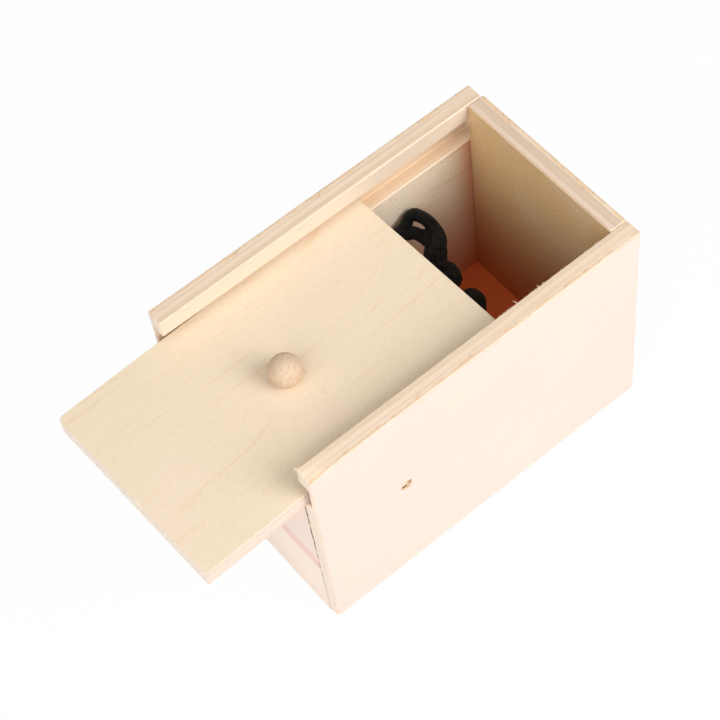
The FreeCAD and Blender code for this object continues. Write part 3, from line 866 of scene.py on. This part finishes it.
def splinters(name, first, last, inward, seed, longest):
    """Torn fibres that lie along an edge and stand out from it here and there."""
    rng = random.Random(seed)
    along = (last - first).normalized()
    runs = []
    for _ in range(FIBRES):
        root = first.lerp(last, rng.random())
        reach = along * rng.uniform(-longest, longest) + inward * rng.uniform(0.02, FIBRE_LEAN * longest)
        thick = rng.uniform(*FIBRE_THICK) * MM
        runs.append([(root, thick), (root + reach * 0.6 * MM, thick * 0.8), (root + reach * MM, 0.01 * MM)])
    return thick_curve(name, runs, "POLY", 1)


# The dowel's hole and the tear round it: play, rise above the pivot, tilt and raggedness
HOLE_PLAY = 0.03 * MM
TEAR_RISE = 0.5 * MM
TEAR_TILT = math.radians(18.0)
TEAR_RAGGED = 0.16 * MM


class SCAREBOX_OT_side_walls(bpy.types.Operator):
    """Both side boards with the lid's grooves, the dowel's holes and a torn mark round its near end"""

    bl_idname = "scare_box.side_walls"
    bl_label = "Side walls"

    def execute(self, context):
        tint = settings().wood
        for node, side, seed in (("near_side_wall", -1, 3.0), ("far_side_wall", 1, 11.0)):
            low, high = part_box(node)
            outer, inner = (high.y, low.y) if side > 0 else (low.y, high.y)
            wall = grooved_board(node + "_ply", low, high, side)
            if side < 0:
                self.round_corner(wall, low)
            wear(wall, X, SIDE_CUTS)
            if side < 0:
                self.wear_down(wall, Vector((low.x, low.y, high.z)))
            self.mark_dowel(wall, side, outer)
            wall = join(node + "_ply", [wall, *self.fibres(low, high, side, inner)])
            smooth(wall)
            ply = Plywood(node + "_wood", Y, X, inner, outer)
            skins = (tint.lining, tint.outside)
            material = ply.finish(seed, skins, strength=0.3, speckle=0.2, groove=groove_heights())
            dress(wall, material, "box", "plywood", node)
        return {"FINISHED"}

    def round_corner(self, wall, corner):
        """Rounds the near side's front corner, which is worn more than its other edges."""

        def at_corner(edge):
            return runs_along(edge, Z) and (edge.verts[0].co - corner).xy.length < 0.1 * MM

        with editing(wall):
            pick(wall, "edges", at_corner)
            bpy.ops.mesh.bevel(offset=settings().boards.worn_corner, segments=5, affect="EDGES")

    def wear_down(self, wall, corner):
        """Lowers the outer upper edge towards that corner."""
        boards = settings().boards
        deep, wide = 1.5 * boards.edge_round, 4 * boards.edge_round
        for vertex in wall.data.vertices:
            away = vertex.co - corner
            if away.x < boards.worn_run and away.z > -deep and away.y < wide:
                vertex.co.z -= boards.worn_drop * (1 - away.x / boards.worn_run) ** 2

    def fibres(self, low, high, side, inner):
        """Torn fibres along the inner upper edge and, on the near side, a few longer slivers."""
        top = high.z - FIBRE_DROP
        inward = Vector((0.0, -side, 0.0))
        first = Vector((low.x + FIBRE_END, inner, top))
        last = Vector((high.x - FIBRE_END, inner, top))
        found = [splinters("fibres", first, last, inward, 12 + side, 0.5)]
        if side < 0:
            slivers = []
            for reach, long, lean in SLIVERS:
                root = Vector((reach * MM, inner - SLIVER_ROOT, top))
                tip = root + Vector((lean, long, SLIVER_RISE)) * MM
                slivers.append([(root, 0.1 * MM), (root.lerp(tip, 0.55), 0.08 * MM), (tip, 0.02 * MM)])
            found.append(thick_curve("slivers", slivers, "POLY", 1))
        return found

    def mark_dowel(self, wall, side, face):
        """Cuts the dowel's hole, and the leaf-shaped tear that it left in the near side's outer layer."""
        boards = settings().boards
        low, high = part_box("pivot_dowel")
        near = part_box("near_side_wall")
        inside = 2 * abs(near[1].y - near[0].y)
        middle = face - side * boards.mark_depth - side * inside / 2
        radius = (high.x - low.x) / 2 + HOLE_PLAY
        cut_away(wall, cross_bar("dowel_hole", 24, radius, inside, (PIVOT.x, middle, PIVOT.z)))
        if side > 0:
            return
        # A bar of unit width, drawn out to the mark's size
        size = (boards.mark_length, boards.mark_height, 1.0)
        centre = (PIVOT.x, face, PIVOT.z + TEAR_RISE)
        tear = cross_bar("tear", 18, 0.5, 2 * boards.mark_depth, centre, size)
        with editing(tear):
            pin = (PIVOT.x, face, PIVOT.z)
            bpy.ops.transform.rotate(value=TEAR_TILT, orient_axis="Y", center_override=pin)
            bpy.ops.transform.vertex_random(offset=TEAR_RAGGED, uniform=1.0, seed=4)
        cut_away(wall, tear)


# The ragged edge of the front wall's lap: its steps, and how far they vary in millimetres
LAP_STEPS = 60
LAP_RAGGED = 0.14


class SCAREBOX_OT_end_walls(bpy.types.Operator):
    """The full-height back board and the lower front board"""

    bl_idname = "scare_box.end_walls"
    bl_label = "End walls"

    def execute(self, context):
        tint = settings().wood
        low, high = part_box("back_wall")
        back = end_board("back_wall_ply", low, high)
        back = join("back_wall_ply", [back, self.fibres(low, high)])
        smooth(back)
        ply = Plywood("back_wall_wood", X, Y, low.x, high.x)
        skins = (tint.amber, tint.outside)
        material = ply.finish(27.0, skins, strength=0.4, layers=END_LAYERS, speckle=0.3)
        dress(back, material, "box", "plywood", "back_wall")
        low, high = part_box("front_wall")
        gap = Vector((0.0, settings().boards.end_gap, 0.0))
        front = end_board("front_wall_ply", low + gap, high - gap)
        front = join("front_wall_ply", [front, self.overlap(low, high)])
        smooth(front)
        ply = Plywood("front_wall_wood", X, Y, high.x, low.x)
        skins = (tint.lining, tint.front)
        material = ply.finish(19.0, skins, strength=0.15, lid_shadow_line=settings().boards.lid_shadow_line / MM)
        dress(front, material, "box", "plywood", "front_wall")
        return {"FINISHED"}

    def fibres(self, low, high):
        """Torn fibres along the back board's inner upper edge."""
        top = high.z - FIBRE_DROP
        first, last = Vector((low.x, low.y, top)), Vector((low.x, high.y, top))
        return splinters("back_fibres", first, last, Vector((-1, 0, 0)), 31, 0.7)

    def overlap(self, low, high):
        """The front board's outer layer, which laps over the near side's end with a ragged edge."""
        boards = settings().boards
        end = high.y - boards.end_gap
        rng = random.Random(5)
        mesh = bmesh.new()
        rows = []
        for step in range(LAP_STEPS + 1):
            share = step / LAP_STEPS
            height = low.z + (high.z - low.z) * share
            reach = boards.lap_low + (boards.lap_high - boards.lap_low) * share
            reach += rng.uniform(-LAP_RAGGED, LAP_RAGGED) * MM
            corners = [(out, side) for side in (low.y - reach, end) for out in (0, -boards.lap)]
            rows.append([mesh.verts.new((low.x + out, side, height)) for out, side in corners])
        for lower, upper in zip(rows, rows[1:]):
            for one, two in ((0, 1), (1, 3), (3, 2), (2, 0)):
                mesh.faces.new((lower[one], lower[two], upper[two], upper[one]))
        for ends in (rows[0], rows[-1]):
            mesh.faces.new([ends[i] for i in (0, 1, 3, 2)])
        bmesh.ops.recalc_face_normals(mesh, faces=mesh.faces)
        lap = bpy.data.meshes.new("lap")
        mesh.to_mesh(lap)
        mesh.free()
        piece = bpy.data.objects.new("lap", lap)
        bpy.context.scene.collection.objects.link(piece)
        return piece


class SCAREBOX_OT_floor_panel(bpy.types.Operator):
    """The thin floor keeps its CAD shape and gets a reddish grain"""

    bl_idname = "scare_box.floor_panel"
    bl_label = "Floor panel"

    def execute(self, context):
        paint_node("floor_panel", floor_board("floor_wood"))
        return {"FINISHED"}


class SCAREBOX_OT_lid(bpy.types.Operator):
    """The loose lid with its round corners, a little askew in the grooves"""

    bl_idname = "scare_box.lid"
    bl_label = "Lid"

    def execute(self, context):
        boards = settings().boards
        low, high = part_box("lid_panel")
        skew, corner = boards.lid_skew, boards.lid_corner
        wide = high - low - Vector((2 * corner, 2 * corner, 0.0))
        shrink = math.cos(2 * skew)
        long = (wide.x * math.cos(skew) - wide.y * math.sin(skew)) / shrink + 2 * corner
        across = (wide.y * math.cos(skew) - wide.x * math.sin(skew)) / shrink + 2 * corner
        middle = (low + high) / 2
        extent = (long, across, high.z - low.z)
        lid = add(bpy.ops.mesh.primitive_cube_add, "lid_ply", extent, size=1.0, location=middle)
        with editing(lid):
            pick(lid, "edges", lambda edge: runs_along(edge, Z) and not self.sharp(edge, middle))
            bpy.ops.mesh.bevel(offset=corner, segments=8, affect="EDGES")
            pick(lid, "edges", lambda edge: runs_along(edge, Z) and self.sharp(edge, middle))
            bpy.ops.mesh.bevel(offset=boards.lid_sharp, segments=5, affect="EDGES")
        round_edges(lid, boards.lid_edge, 2)
        bpy.context.scene.cursor.location = middle
        bpy.ops.object.origin_set(type="ORIGIN_CURSOR")
        lid.rotation_euler.z = skew
        bpy.ops.object.transform_apply(location=True, rotation=True, scale=True)
        smooth(lid)
        tint = settings().wood
        ply = Plywood("lid_wood", Z, X, high.z, low.z)
        dress(lid, ply.finish(41.0, (tint.face, tint.lining), bleached=0.45), "lid", "plywood", "lid_panel")
        return {"FINISHED"}

    def sharp(self, edge, middle):
        """Whether an edge stands at the lid's near front corner."""
        return edge.verts[0].co.x < middle.x and edge.verts[0].co.y < middle.y


class SCAREBOX_OT_knob(bpy.types.Operator):
    """The turned ball on its short foot, and the peg under it"""

    bl_idname = "scare_box.knob"
    bl_label = "Knob"

    def execute(self, context):
        boards, tint = settings().boards, settings().wood
        low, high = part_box("lid_knob")
        radius = (high.x - low.x) / 2
        centre = Vector(((low.x + high.x) / 2, (low.y + high.y) / 2, low.z + boards.knob_centre))
        neck = centre.z - math.sqrt(radius ** 2 - boards.knob_foot ** 2)
        knob = add(
            bpy.ops.mesh.primitive_uv_sphere_add, "knob_ball", segments=64, ring_count=48, radius=radius,
            location=centre,
        )
        with editing(knob):
            bpy.ops.mesh.bisect(plane_co=(0, 0, neck), plane_no=(0, 0, 1), clear_inner=True)
            pick(knob, "edges", lambda edge: edge.is_boundary)
            bpy.ops.mesh.extrude_region_move(TRANSFORM_OT_translate={"value": (0.0, 0.0, low.z - neck)})
            bpy.ops.mesh.edge_face_add()
            face_outwards()
        smooth(knob, ROUND_TURN)
        material = turned_wood("knob_wood", centre, tint.knob, tint.knob_ring)
        dress(knob, material, "lid", "turned_wood", "lid_knob")
        paint_node("knob_peg", straight_wood("peg_wood", Z, tint.knob, tint.knob_ring, 5.0))
        return {"FINISHED"}


# The dowel's ends: the widths of two rims, and how ragged they are
END_RIMS = (0.25 * MM, 0.3 * MM)
END_RAGGED = 0.06 * MM


class SCAREBOX_OT_pivot(bpy.types.Operator):
    """The cross dowel with its torn ends, and the two sleeves on it"""

    bl_idname = "scare_box.pivot"
    bl_label = "Dowel and sleeves"

    def execute(self, context):
        boards, tint = settings().boards, settings().wood
        low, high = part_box("pivot_dowel")
        reach = high.y - low.y - 2 * boards.mark_depth
        dowel = cross_bar("pivot_dowel_wood", 40, (high.x - low.x) / 2, reach, (low + high) / 2)
        with editing(dowel):
            pick(dowel, "faces", lambda face: abs(face.normal.y) > 0.9)
            for rim in END_RIMS:
                bpy.ops.mesh.inset(thickness=rim, use_individual=True)
            bpy.ops.transform.vertex_random(offset=END_RAGGED, uniform=1.0, seed=9)
        smooth(dowel, DOWEL_TURN)
        dress(dowel, torn_end("dowel_wood"), "box", "dowel_wood", "pivot_dowel")
        for node, seed in (("near_sleeve", 7.0), ("far_sleeve", 13.0)):
            paint_node(node, straight_wood(node + "_wood", Y, tint.dowel, tint.cross_ply, seed))
        return {"FINISHED"}


class SCAREBOX_OT_arm(bpy.types.Operator):
    """The block and the lath keep their CAD shape and get a sawn grain"""

    bl_idname = "scare_box.arm"
    bl_label = "Arm"

    def execute(self, context):
        tint = settings().wood
        paint_node("arm_block", straight_wood("block_wood", Y, tint.veneer, tint.cross_ply, 17.0))
        paint_node("arm_lath", straight_wood("lath_wood", X, tint.face, tint.fibre, 23.0))
        return {"FINISHED"}


def on_arm(reach, side, rise):
    """A place in the arm's own frame: millimetres ahead of, beside and above the pivot."""
    return PIVOT + Vector((reach, side, rise)) * MM


# The spring's turns and the steps in each, the end of its coil and the shape of its two legs
COIL_TURNS, TURN_STEPS = 4, 32
BRACE_RISE = 6.0 * MM
HOOK_DROP = 1.35 * MM
COIL_END = -8.4 * MM
LEG_BEND = 1.8 * MM


class SCAREBOX_OT_spring(bpy.types.Operator):
    """The wound wire whose one leg presses on the front wall and whose other lifts the lath"""

    bl_idname = "scare_box.spring"
    bl_label = "Spring"

    def execute(self, context):
        sizes, hard = settings().scorpion, settings().hard
        low, high = (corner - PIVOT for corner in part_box("torsion_spring"))
        wire, coil = sizes.wire, sizes.coil
        brace = Vector((low.x + wire, 0.0, low.z + BRACE_RISE))
        hook = Vector((high.x - wire, 0.0, -HOOK_DROP))
        first = self.leaving(brace, -1, coil) + math.tau
        last = self.leaving(hook, 1, coil)
        while first - last < COIL_TURNS * math.tau:
            last -= math.tau

        def turn(angle):
            side = COIL_END - sizes.pitch / math.tau * (angle - last)
            return Vector((coil * math.cos(angle), side, coil * math.sin(angle)))

        steps = TURN_STEPS * COIL_TURNS
        wound = [turn(first + (last - first) * step / steps) for step in range(steps + 1)]
        start_y = wound[0].y
        braced = [Vector((brace.x, start_y, low.z)), Vector((brace.x, start_y, brace.z)), wound[0]]
        hooked = [wound[-1], Vector((hook.x, COIL_END, hook.z)), Vector((hook.x, high.y, hook.z))]
        route = rounded(braced, LEG_BEND)[:-1] + wound + rounded(hooked, LEG_BEND)[1:]
        spring = thick_curve("spring_wire", [[(PIVOT + place, wire) for place in route]], "POLY", 3)
        smooth(spring, ROUND_TURN)
        spring.data.materials.append(drawn_wire("spring_steel", tuple(hard.steel)))
        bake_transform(spring)
        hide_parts("torsion_spring")
        paint_node("spring_staple", drawn_wire("staple_steel", tuple(hard.steel)))
        return {"FINISHED"}

    def leaving(self, target, sign, coil):
        """The angle on the coil where a straight wire leaves it for a target."""
        away = math.hypot(target.x, target.z)
        return math.atan2(target.z, target.x) + sign * math.acos(coil / away)


# Bends of a tie, under the lath and over the trunk
TIE_BEND = 0.7 * MM
TIE_SHOULDER = 3.8 * MM


class SCAREBOX_OT_ties(bpy.types.Operator):
    """The two wires drawn round the lath and the scorpion's trunk"""

    bl_idname = "scare_box.ties"
    bl_label = "Tie wires"

    def execute(self, context):
        wire = settings().scorpion.tie
        for node in ("rear_tie", "front_tie"):
            low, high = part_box(node)
            reach = (low.x + high.x) / 2
            bottom, top = low.z + wire, high.z - wire
            left, right = low.y + wire, high.y - wire
            corners = [(right, bottom), (right, top), (left, top), (left, bottom)]
            corners = [(0.0, bottom), *corners, (0.0, bottom)]
            places = [Vector((reach, y, z)) for y, z in corners]
            lower = Vector((0.0, 0.0, TIE_BEND))
            shoulders = [places[1] + lower, places[2], places[3], places[4] + lower]
            route = rounded(places[:3], TIE_BEND)[:-1]
            route += rounded(shoulders, TIE_SHOULDER)[1:-1]
            route += rounded(places[3:], TIE_BEND)[1:]
            loop = thick_curve(node + "_wire", [[(place, wire) for place in route]], "POLY", 3)
            smooth(loop, ROUND_TURN)
            material = drawn_wire(node + "_metal", tuple(settings().hard.tie))
            dress(loop, material, "arm", "tie_wire", node)
        return {"FINISHED"}


# The scorpion's belly above the pivot and the flatness of its trunk; all its measures are in millimetres
BELLY = 0.95
FLATNESS = 0.62
# Back plates and head shield: reach, half length and half width
PLATES = (
    (15.4, 1.9, 3.3), (18.5, 2.1, 4.2), (21.6, 2.2, 4.9), (24.7, 2.2, 5.3), (27.8, 2.2, 5.4),
    (30.9, 2.2, 5.2), (37.8, 6.0, 5.4),
)
# Core of the trunk: reach and half width
CORE = (
    (13.2, 2.0), (14.0, 3.1), (17.0, 3.3), (20.0, 4.1), (23.0, 4.7), (26.0, 4.95), (29.0, 5.0),
    (32.6, 4.9), (35.2, 5.3), (38.2, 5.2), (40.8, 4.6), (42.8, 3.4), (43.8, 2.0),
)
# Eyes and mouth parts: reach, distance from the middle, rise above the belly and radius
HEAD_DETAILS = ((40.2, 1.1, 6.2, 0.7), (43.2, 1.3, 2.4, 1.2))
# Tail: reach of the curl's middle, height that it clears, the angle where it does so, and its radius
CURL_REACH, CURL_CLEAR, CLEAR_ANGLE, CURL = 12.4, 5.95, math.radians(60), 4.61
TAIL_ROOT = (Vector((16.0, 0.0, BELLY + 1.6)), 1.5)
# Angles in degrees on the curl, and radii
FIRST_BEAD, BEAD_TURN, BEADS = -80, 30, 5
BEAD = ((0, 1.2), (9, 1.75), (21, 1.75))
BULB = ((-230, 1.2), (-239, 1.55), (-247, 1.9), (-257, 1.45), (-267, 0.7))
STING, STING_TIP = Vector((1.9, 0.0, -1.5)), 0.25
# Legs: reach of root, knee and foot and the foot's distance from the middle, then what they share
LEGS = (
    (40.2, 38.6, 37.4, 15.6), (38.2, 35.4, 33.0, 18.0), (36.2, 31.4, 27.2, 18.6), (34.4, 27.8, 21.6, 17.6),
)
HIP_SIDE, HIP_RISE = 3.6, 2.6
KNEE_SHARE, KNEE_RISE = 0.62, 5.8
FOOT_DROP = 6.4
LEG_RADII = (1.25, 1.1, 1.15, 1.05, 0.55)
# Pincers: reach, distance from the middle, rise and radius of each station
FAR_ARM = ((40.0, 2.6, 4.0, 1.6), (43.2, 3.9, 4.6, 2.3), (45.0, 5.0, 4.8, 3.1), (45.6, 6.8, 5.6, 2.6))
NEAR_ARM = (
    (40.0, 2.0, 4.0, 1.6), (43.0, 2.4, 4.2, 2.4), (44.8, 3.0, 4.3, 3.0), (44.8, 4.8, 4.6, 3.0),
    (44.0, 6.6, 4.6, 2.3),
)
HAND = (
    (45.2, 9.0, 6.6, 1.9), (45.8, 10.7, 7.0, 2.6), (46.1, 11.9, 7.2, 3.2), (46.9, 12.8, 7.3, 3.0),
    (47.8, 13.8, 7.4, 2.8), (48.9, 14.7, 7.6, 2.7), (49.8, 15.9, 7.9, 2.3), (50.5, 17.6, 8.4, 1.8),
    (50.5, 19.2, 9.0, 1.75), (50.2, 20.7, 9.6, 1.72), (49.5, 22.4, 10.0, 1.7), (48.7, 23.7, 10.0, 1.65),
    (47.8, 24.1, 9.4, 1.6), (46.5, 23.8, 8.6, 1.6), (45.1, 23.3, 7.9, 1.6), (43.8, 23.4, 7.4, 1.55),
    (42.6, 23.7, 7.2, 1.4),
)
THUMB = (
    (47.9, 16.1, 7.4, 2.5), (47.3, 17.8, 7.4, 1.95), (46.8, 19.4, 7.4, 1.75), (46.1, 20.8, 7.4, 1.7),
    (44.8, 21.7, 7.3, 1.8), (43.6, 22.9, 7.3, 1.7), (42.4, 23.6, 7.2, 1.4),
)
# How the near hand differs: it is folded back at the elbow and sinks
ELBOW = Vector((45.0, 5.0, 0.0))
NEAR_FOLD = math.radians(35.0)
NEAR_SINK = 4.0
FOLD_STARTS, FOLD_ENDS = 6.8, 10.8


class SCAREBOX_OT_scorpion(bpy.types.Operator):
    """The black rubber moulding: plated trunk, curled tail, eight legs and two closed pincers"""

    bl_idname = "scare_box.scorpion"
    bl_label = "Scorpion"

    def execute(self, context):
        sizes = settings().scorpion
        limbs = [self.tail(), *self.claw(-1), *self.claw(1)]
        for side in (-1, 1):
            for reach in LEGS:
                limbs.append(self.leg(side, *reach))
        runs = [[(on_arm(*place), radius * MM) for place, radius in limb] for limb in limbs]
        moulding = join("scorpion_rubber", [thick_curve("limbs", runs, "BEZIER", 5), *self.trunk()])
        modify(moulding, "REMESH", mode="VOXEL", voxel_size=sizes.skin)
        modify(moulding, "SMOOTH", factor=0.5, iterations=2)
        roughen(moulding, "creases", sizes.wrinkle_size, sizes.wrinkle, 0.45)
        bpy.ops.object.shade_smooth()
        dress(moulding, moulded_rubber("black_rubber"), "arm", "black_rubber", "scorpion")
        return {"FINISHED"}

    def trunk(self):
        """Overlapping back plates and the head shield, flat where they lie on the lath."""
        pieces = []
        for reach, long, half in PLATES:
            rise = half * FLATNESS
            centre = on_arm(reach, 0.0, BELLY + rise)
            plate = add(
                bpy.ops.mesh.primitive_uv_sphere_add, "plate", (long * MM, half * MM, rise * MM),
                segments=32, ring_count=20, location=centre,
            )
            pieces.append(plate)
        core = [((reach, 0.0, BELLY / FLATNESS + half), half) for reach, half in CORE]
        body = thick_curve("core", [[(Vector(place) * MM, half * MM) for place, half in core]], "BEZIER", 6)
        body.scale.z = FLATNESS
        body.location = PIVOT
        pieces.append(take("core"))
        for side in (-1, 1):
            for reach, away, rise, radius in HEAD_DETAILS:
                centre = on_arm(reach, side * away, BELLY + rise)
                detail = add(
                    bpy.ops.mesh.primitive_ico_sphere_add, "head_detail", subdivisions=3,
                    radius=radius * MM, location=centre,
                )
                pieces.append(detail)
        return pieces

    def tail(self):
        """A beaded tail that rises over the block and curls forward to a bulb and a sting."""
        middle = Vector((CURL_REACH, 0.0, CURL_CLEAR + CURL * math.sin(CLEAR_ANGLE)))

        def on_curl(degrees):
            turn = math.radians(degrees)
            return middle + Vector((math.cos(turn), 0.0, math.sin(turn))) * CURL

        stations = [TAIL_ROOT]
        for bead in range(BEADS):
            begin = FIRST_BEAD - BEAD_TURN * bead
            stations += [(on_curl(begin - further), radius) for further, radius in BEAD]
        stations += [(on_curl(degrees), radius) for degrees, radius in BULB]
        return stations + [(stations[-1][0] + STING, STING_TIP)]

    def claw(self, side):
        """Arm, wrist, hand and outer finger in one run, and the finger that closes on it in another."""
        arm = [(Vector(place), radius) for *place, radius in (FAR_ARM if side > 0 else NEAR_ARM)]
        hand, thumb = ([(Vector(place), radius) for *place, radius in run] for run in (HAND, THUMB))
        if side < 0:
            hand, thumb = ([(self.folded(place), radius) for place, radius in run] for run in (hand, thumb))
        return [[((p.x, side * p.y, p.z), radius) for p, radius in run] for run in (arm + hand, thumb)]

    def folded(self, place):
        """Where a place on the hand comes when the arm is folded back at its elbow and hangs lower."""
        share = min(1.0, (place.y - FOLD_STARTS) / (FOLD_ENDS - FOLD_STARTS))
        turned = Matrix.Rotation(NEAR_FOLD, 3, "Z") @ (place - ELBOW) + ELBOW
        return Vector((turned.x, turned.y, place.z - share * NEAR_SINK))

    def leg(self, side, root, knee, foot, spread):
        """Up and out to the knee, then down to the foot."""
        hip = Vector((root, side * HIP_SIDE, BELLY + HIP_RISE))
        bend = Vector((knee, side * spread * KNEE_SHARE, BELLY + KNEE_RISE))
        toe = Vector((foot, side * spread, BELLY - FOOT_DROP))
        stations = (hip, hip.lerp(bend, 0.55), bend, bend.lerp(toe, 0.3), toe)
        return list(zip(stations, LEG_RADII))


# Lamps: the setting that holds the power, the place and the width
LAMPS = (
    ("key", (0.30, -0.65, 0.55), 0.6),
    ("fill", (-0.70, -0.30, 0.47), 1.0),
    ("top", (-0.05, -0.18, 0.88), 0.8),
    ("back", (0.25, 0.70, 0.03), 0.25),
)
LAMPS_AIM = Vector((0.0, 0.0, 0.03))
# The camera's sensor in millimetres and its nearest reach, and the floor's drop below the box and its grey
SENSOR = 36.0
NEAREST = 0.01
FLOOR_DROP = 0.2 * MM
FLOOR_GREY = (0.86, 0.86, 0.86)


class SCAREBOX_OT_stage(bpy.types.Operator):
    """Floor, lamps, even light and the camera"""

    bl_idname = "scare_box.stage"
    bl_label = "Stage"

    def execute(self, context):
        stage = settings().stage
        scene = context.scene
        scene.view_settings.view_transform = "Standard"
        self.add_floor(stage)
        self.add_sky(scene, stage)
        for name, place, width in LAMPS:
            self.add_lamp(name + "_lamp", place, getattr(stage, name), width)
        lens = bpy.data.cameras.new("photo_camera")
        lens.lens = stage.lens
        lens.sensor_width = SENSOR
        lens.clip_start = NEAREST
        camera = bpy.data.objects.new("photo_camera", lens)
        camera.location = stage.place
        camera.rotation_euler = stage.turn
        scene.collection.objects.link(camera)
        scene.camera = camera
        return {"FINISHED"}

    def add_floor(self, stage):
        """A floor that the camera sees as almost plain white, but that takes and throws back light."""
        floor = add(bpy.ops.mesh.primitive_plane_add, "floor", size=4.0, location=(0.0, 0.0, -FLOOR_DROP))
        paint = Paint("white_floor")
        paint.finish(FLOOR_GREY, 0.8)
        glow = paint.node("ShaderNodeEmission", inputs={"Strength": 1.0})
        rays = paint.node("ShaderNodeLightPath").socket.node.outputs
        seen = Socket(paint, rays["Is Camera Ray"]) + Socket(paint, rays["Is Glossy Ray"])
        seen = seen + Socket(paint, rays["Is Transmission Ray"])
        share = seen.between(0.0, 1.0) * stage.floor_white
        surface = Socket(paint, paint.shader.outputs[0])
        blend = paint.node("ShaderNodeMixShader", inputs={0: share, 1: surface, 2: glow})
        paint.feed(paint.tree.nodes["Material Output"].inputs["Surface"], blend)
        floor.data.materials.append(paint.material)
        floor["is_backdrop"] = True

    def add_sky(self, scene, stage):
        world = bpy.data.worlds.new("even_light")
        world.use_nodes = True
        back = world.node_tree.nodes["Background"]
        back.inputs["Color"].default_value = (1.0, 1.0, 1.0, 1.0)
        back.inputs["Strength"].default_value = stage.sky
        scene.world = world

    def add_lamp(self, name, place, watts, width):
        light = bpy.data.lights.new(name, "AREA")
        light.energy = watts
        light.size = width
        lamp = bpy.data.objects.new(name, light)
        lamp.visible_camera = False
        lamp.location = place
        lamp.rotation_euler = (LAMPS_AIM - Vector(place)).to_track_quat("-Z", "Y").to_euler()
        bpy.context.scene.collection.objects.link(lamp)


class SCAREBOX_PT_panel(bpy.types.Panel):
    """Lists the steps and the settings"""

    bl_idname = "SCAREBOX_PT_panel"
    bl_label = "Scare box"
    bl_space_type = "VIEW_3D"
    bl_region_type = "UI"
    bl_category = "Scare box"

    def draw(self, context):
        for step in STEPS:
            self.layout.operator(step.bl_idname)
        for group in ("boards", "wood", "hard", "scorpion", "stage"):
            values = getattr(context.scene.scare_box, group)
            box = self.layout.box()
            box.label(text=group.capitalize())
            # The first two belong to every group
            for name in values.bl_rna.properties.keys()[2:]:
                box.prop(values, name)


GROUPS = (BoardSettings, WoodColours, HardColours, StageSettings, ScorpionSettings, SceneSettings)
STEPS = (
    SCAREBOX_OT_side_walls,
    SCAREBOX_OT_end_walls,
    SCAREBOX_OT_floor_panel,
    SCAREBOX_OT_lid,
    SCAREBOX_OT_knob,
    SCAREBOX_OT_pivot,
    SCAREBOX_OT_arm,
    SCAREBOX_OT_spring,
    SCAREBOX_OT_ties,
    SCAREBOX_OT_scorpion,
    SCAREBOX_OT_stage,
)


def register():
    for item in GROUPS + STEPS + (SCAREBOX_PT_panel,):
        bpy.utils.register_class(item)
    bpy.types.Scene.scare_box = PointerProperty(type=SceneSettings)


def unregister():
    del bpy.types.Scene.scare_box
    for item in reversed(GROUPS + STEPS + (SCAREBOX_PT_panel,)):
        bpy.utils.unregister_class(item)


def main():
    register()
    for step in STEPS:
        group, name = step.bl_idname.split(".")
        getattr(getattr(bpy.ops, group), name)()
    sizes = {"cad": CAD_BOX, "visual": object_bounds()}
    {key: [list(corner) for corner in box] for key, box in sizes.items()}


if __name__ == "__main__":
    main()
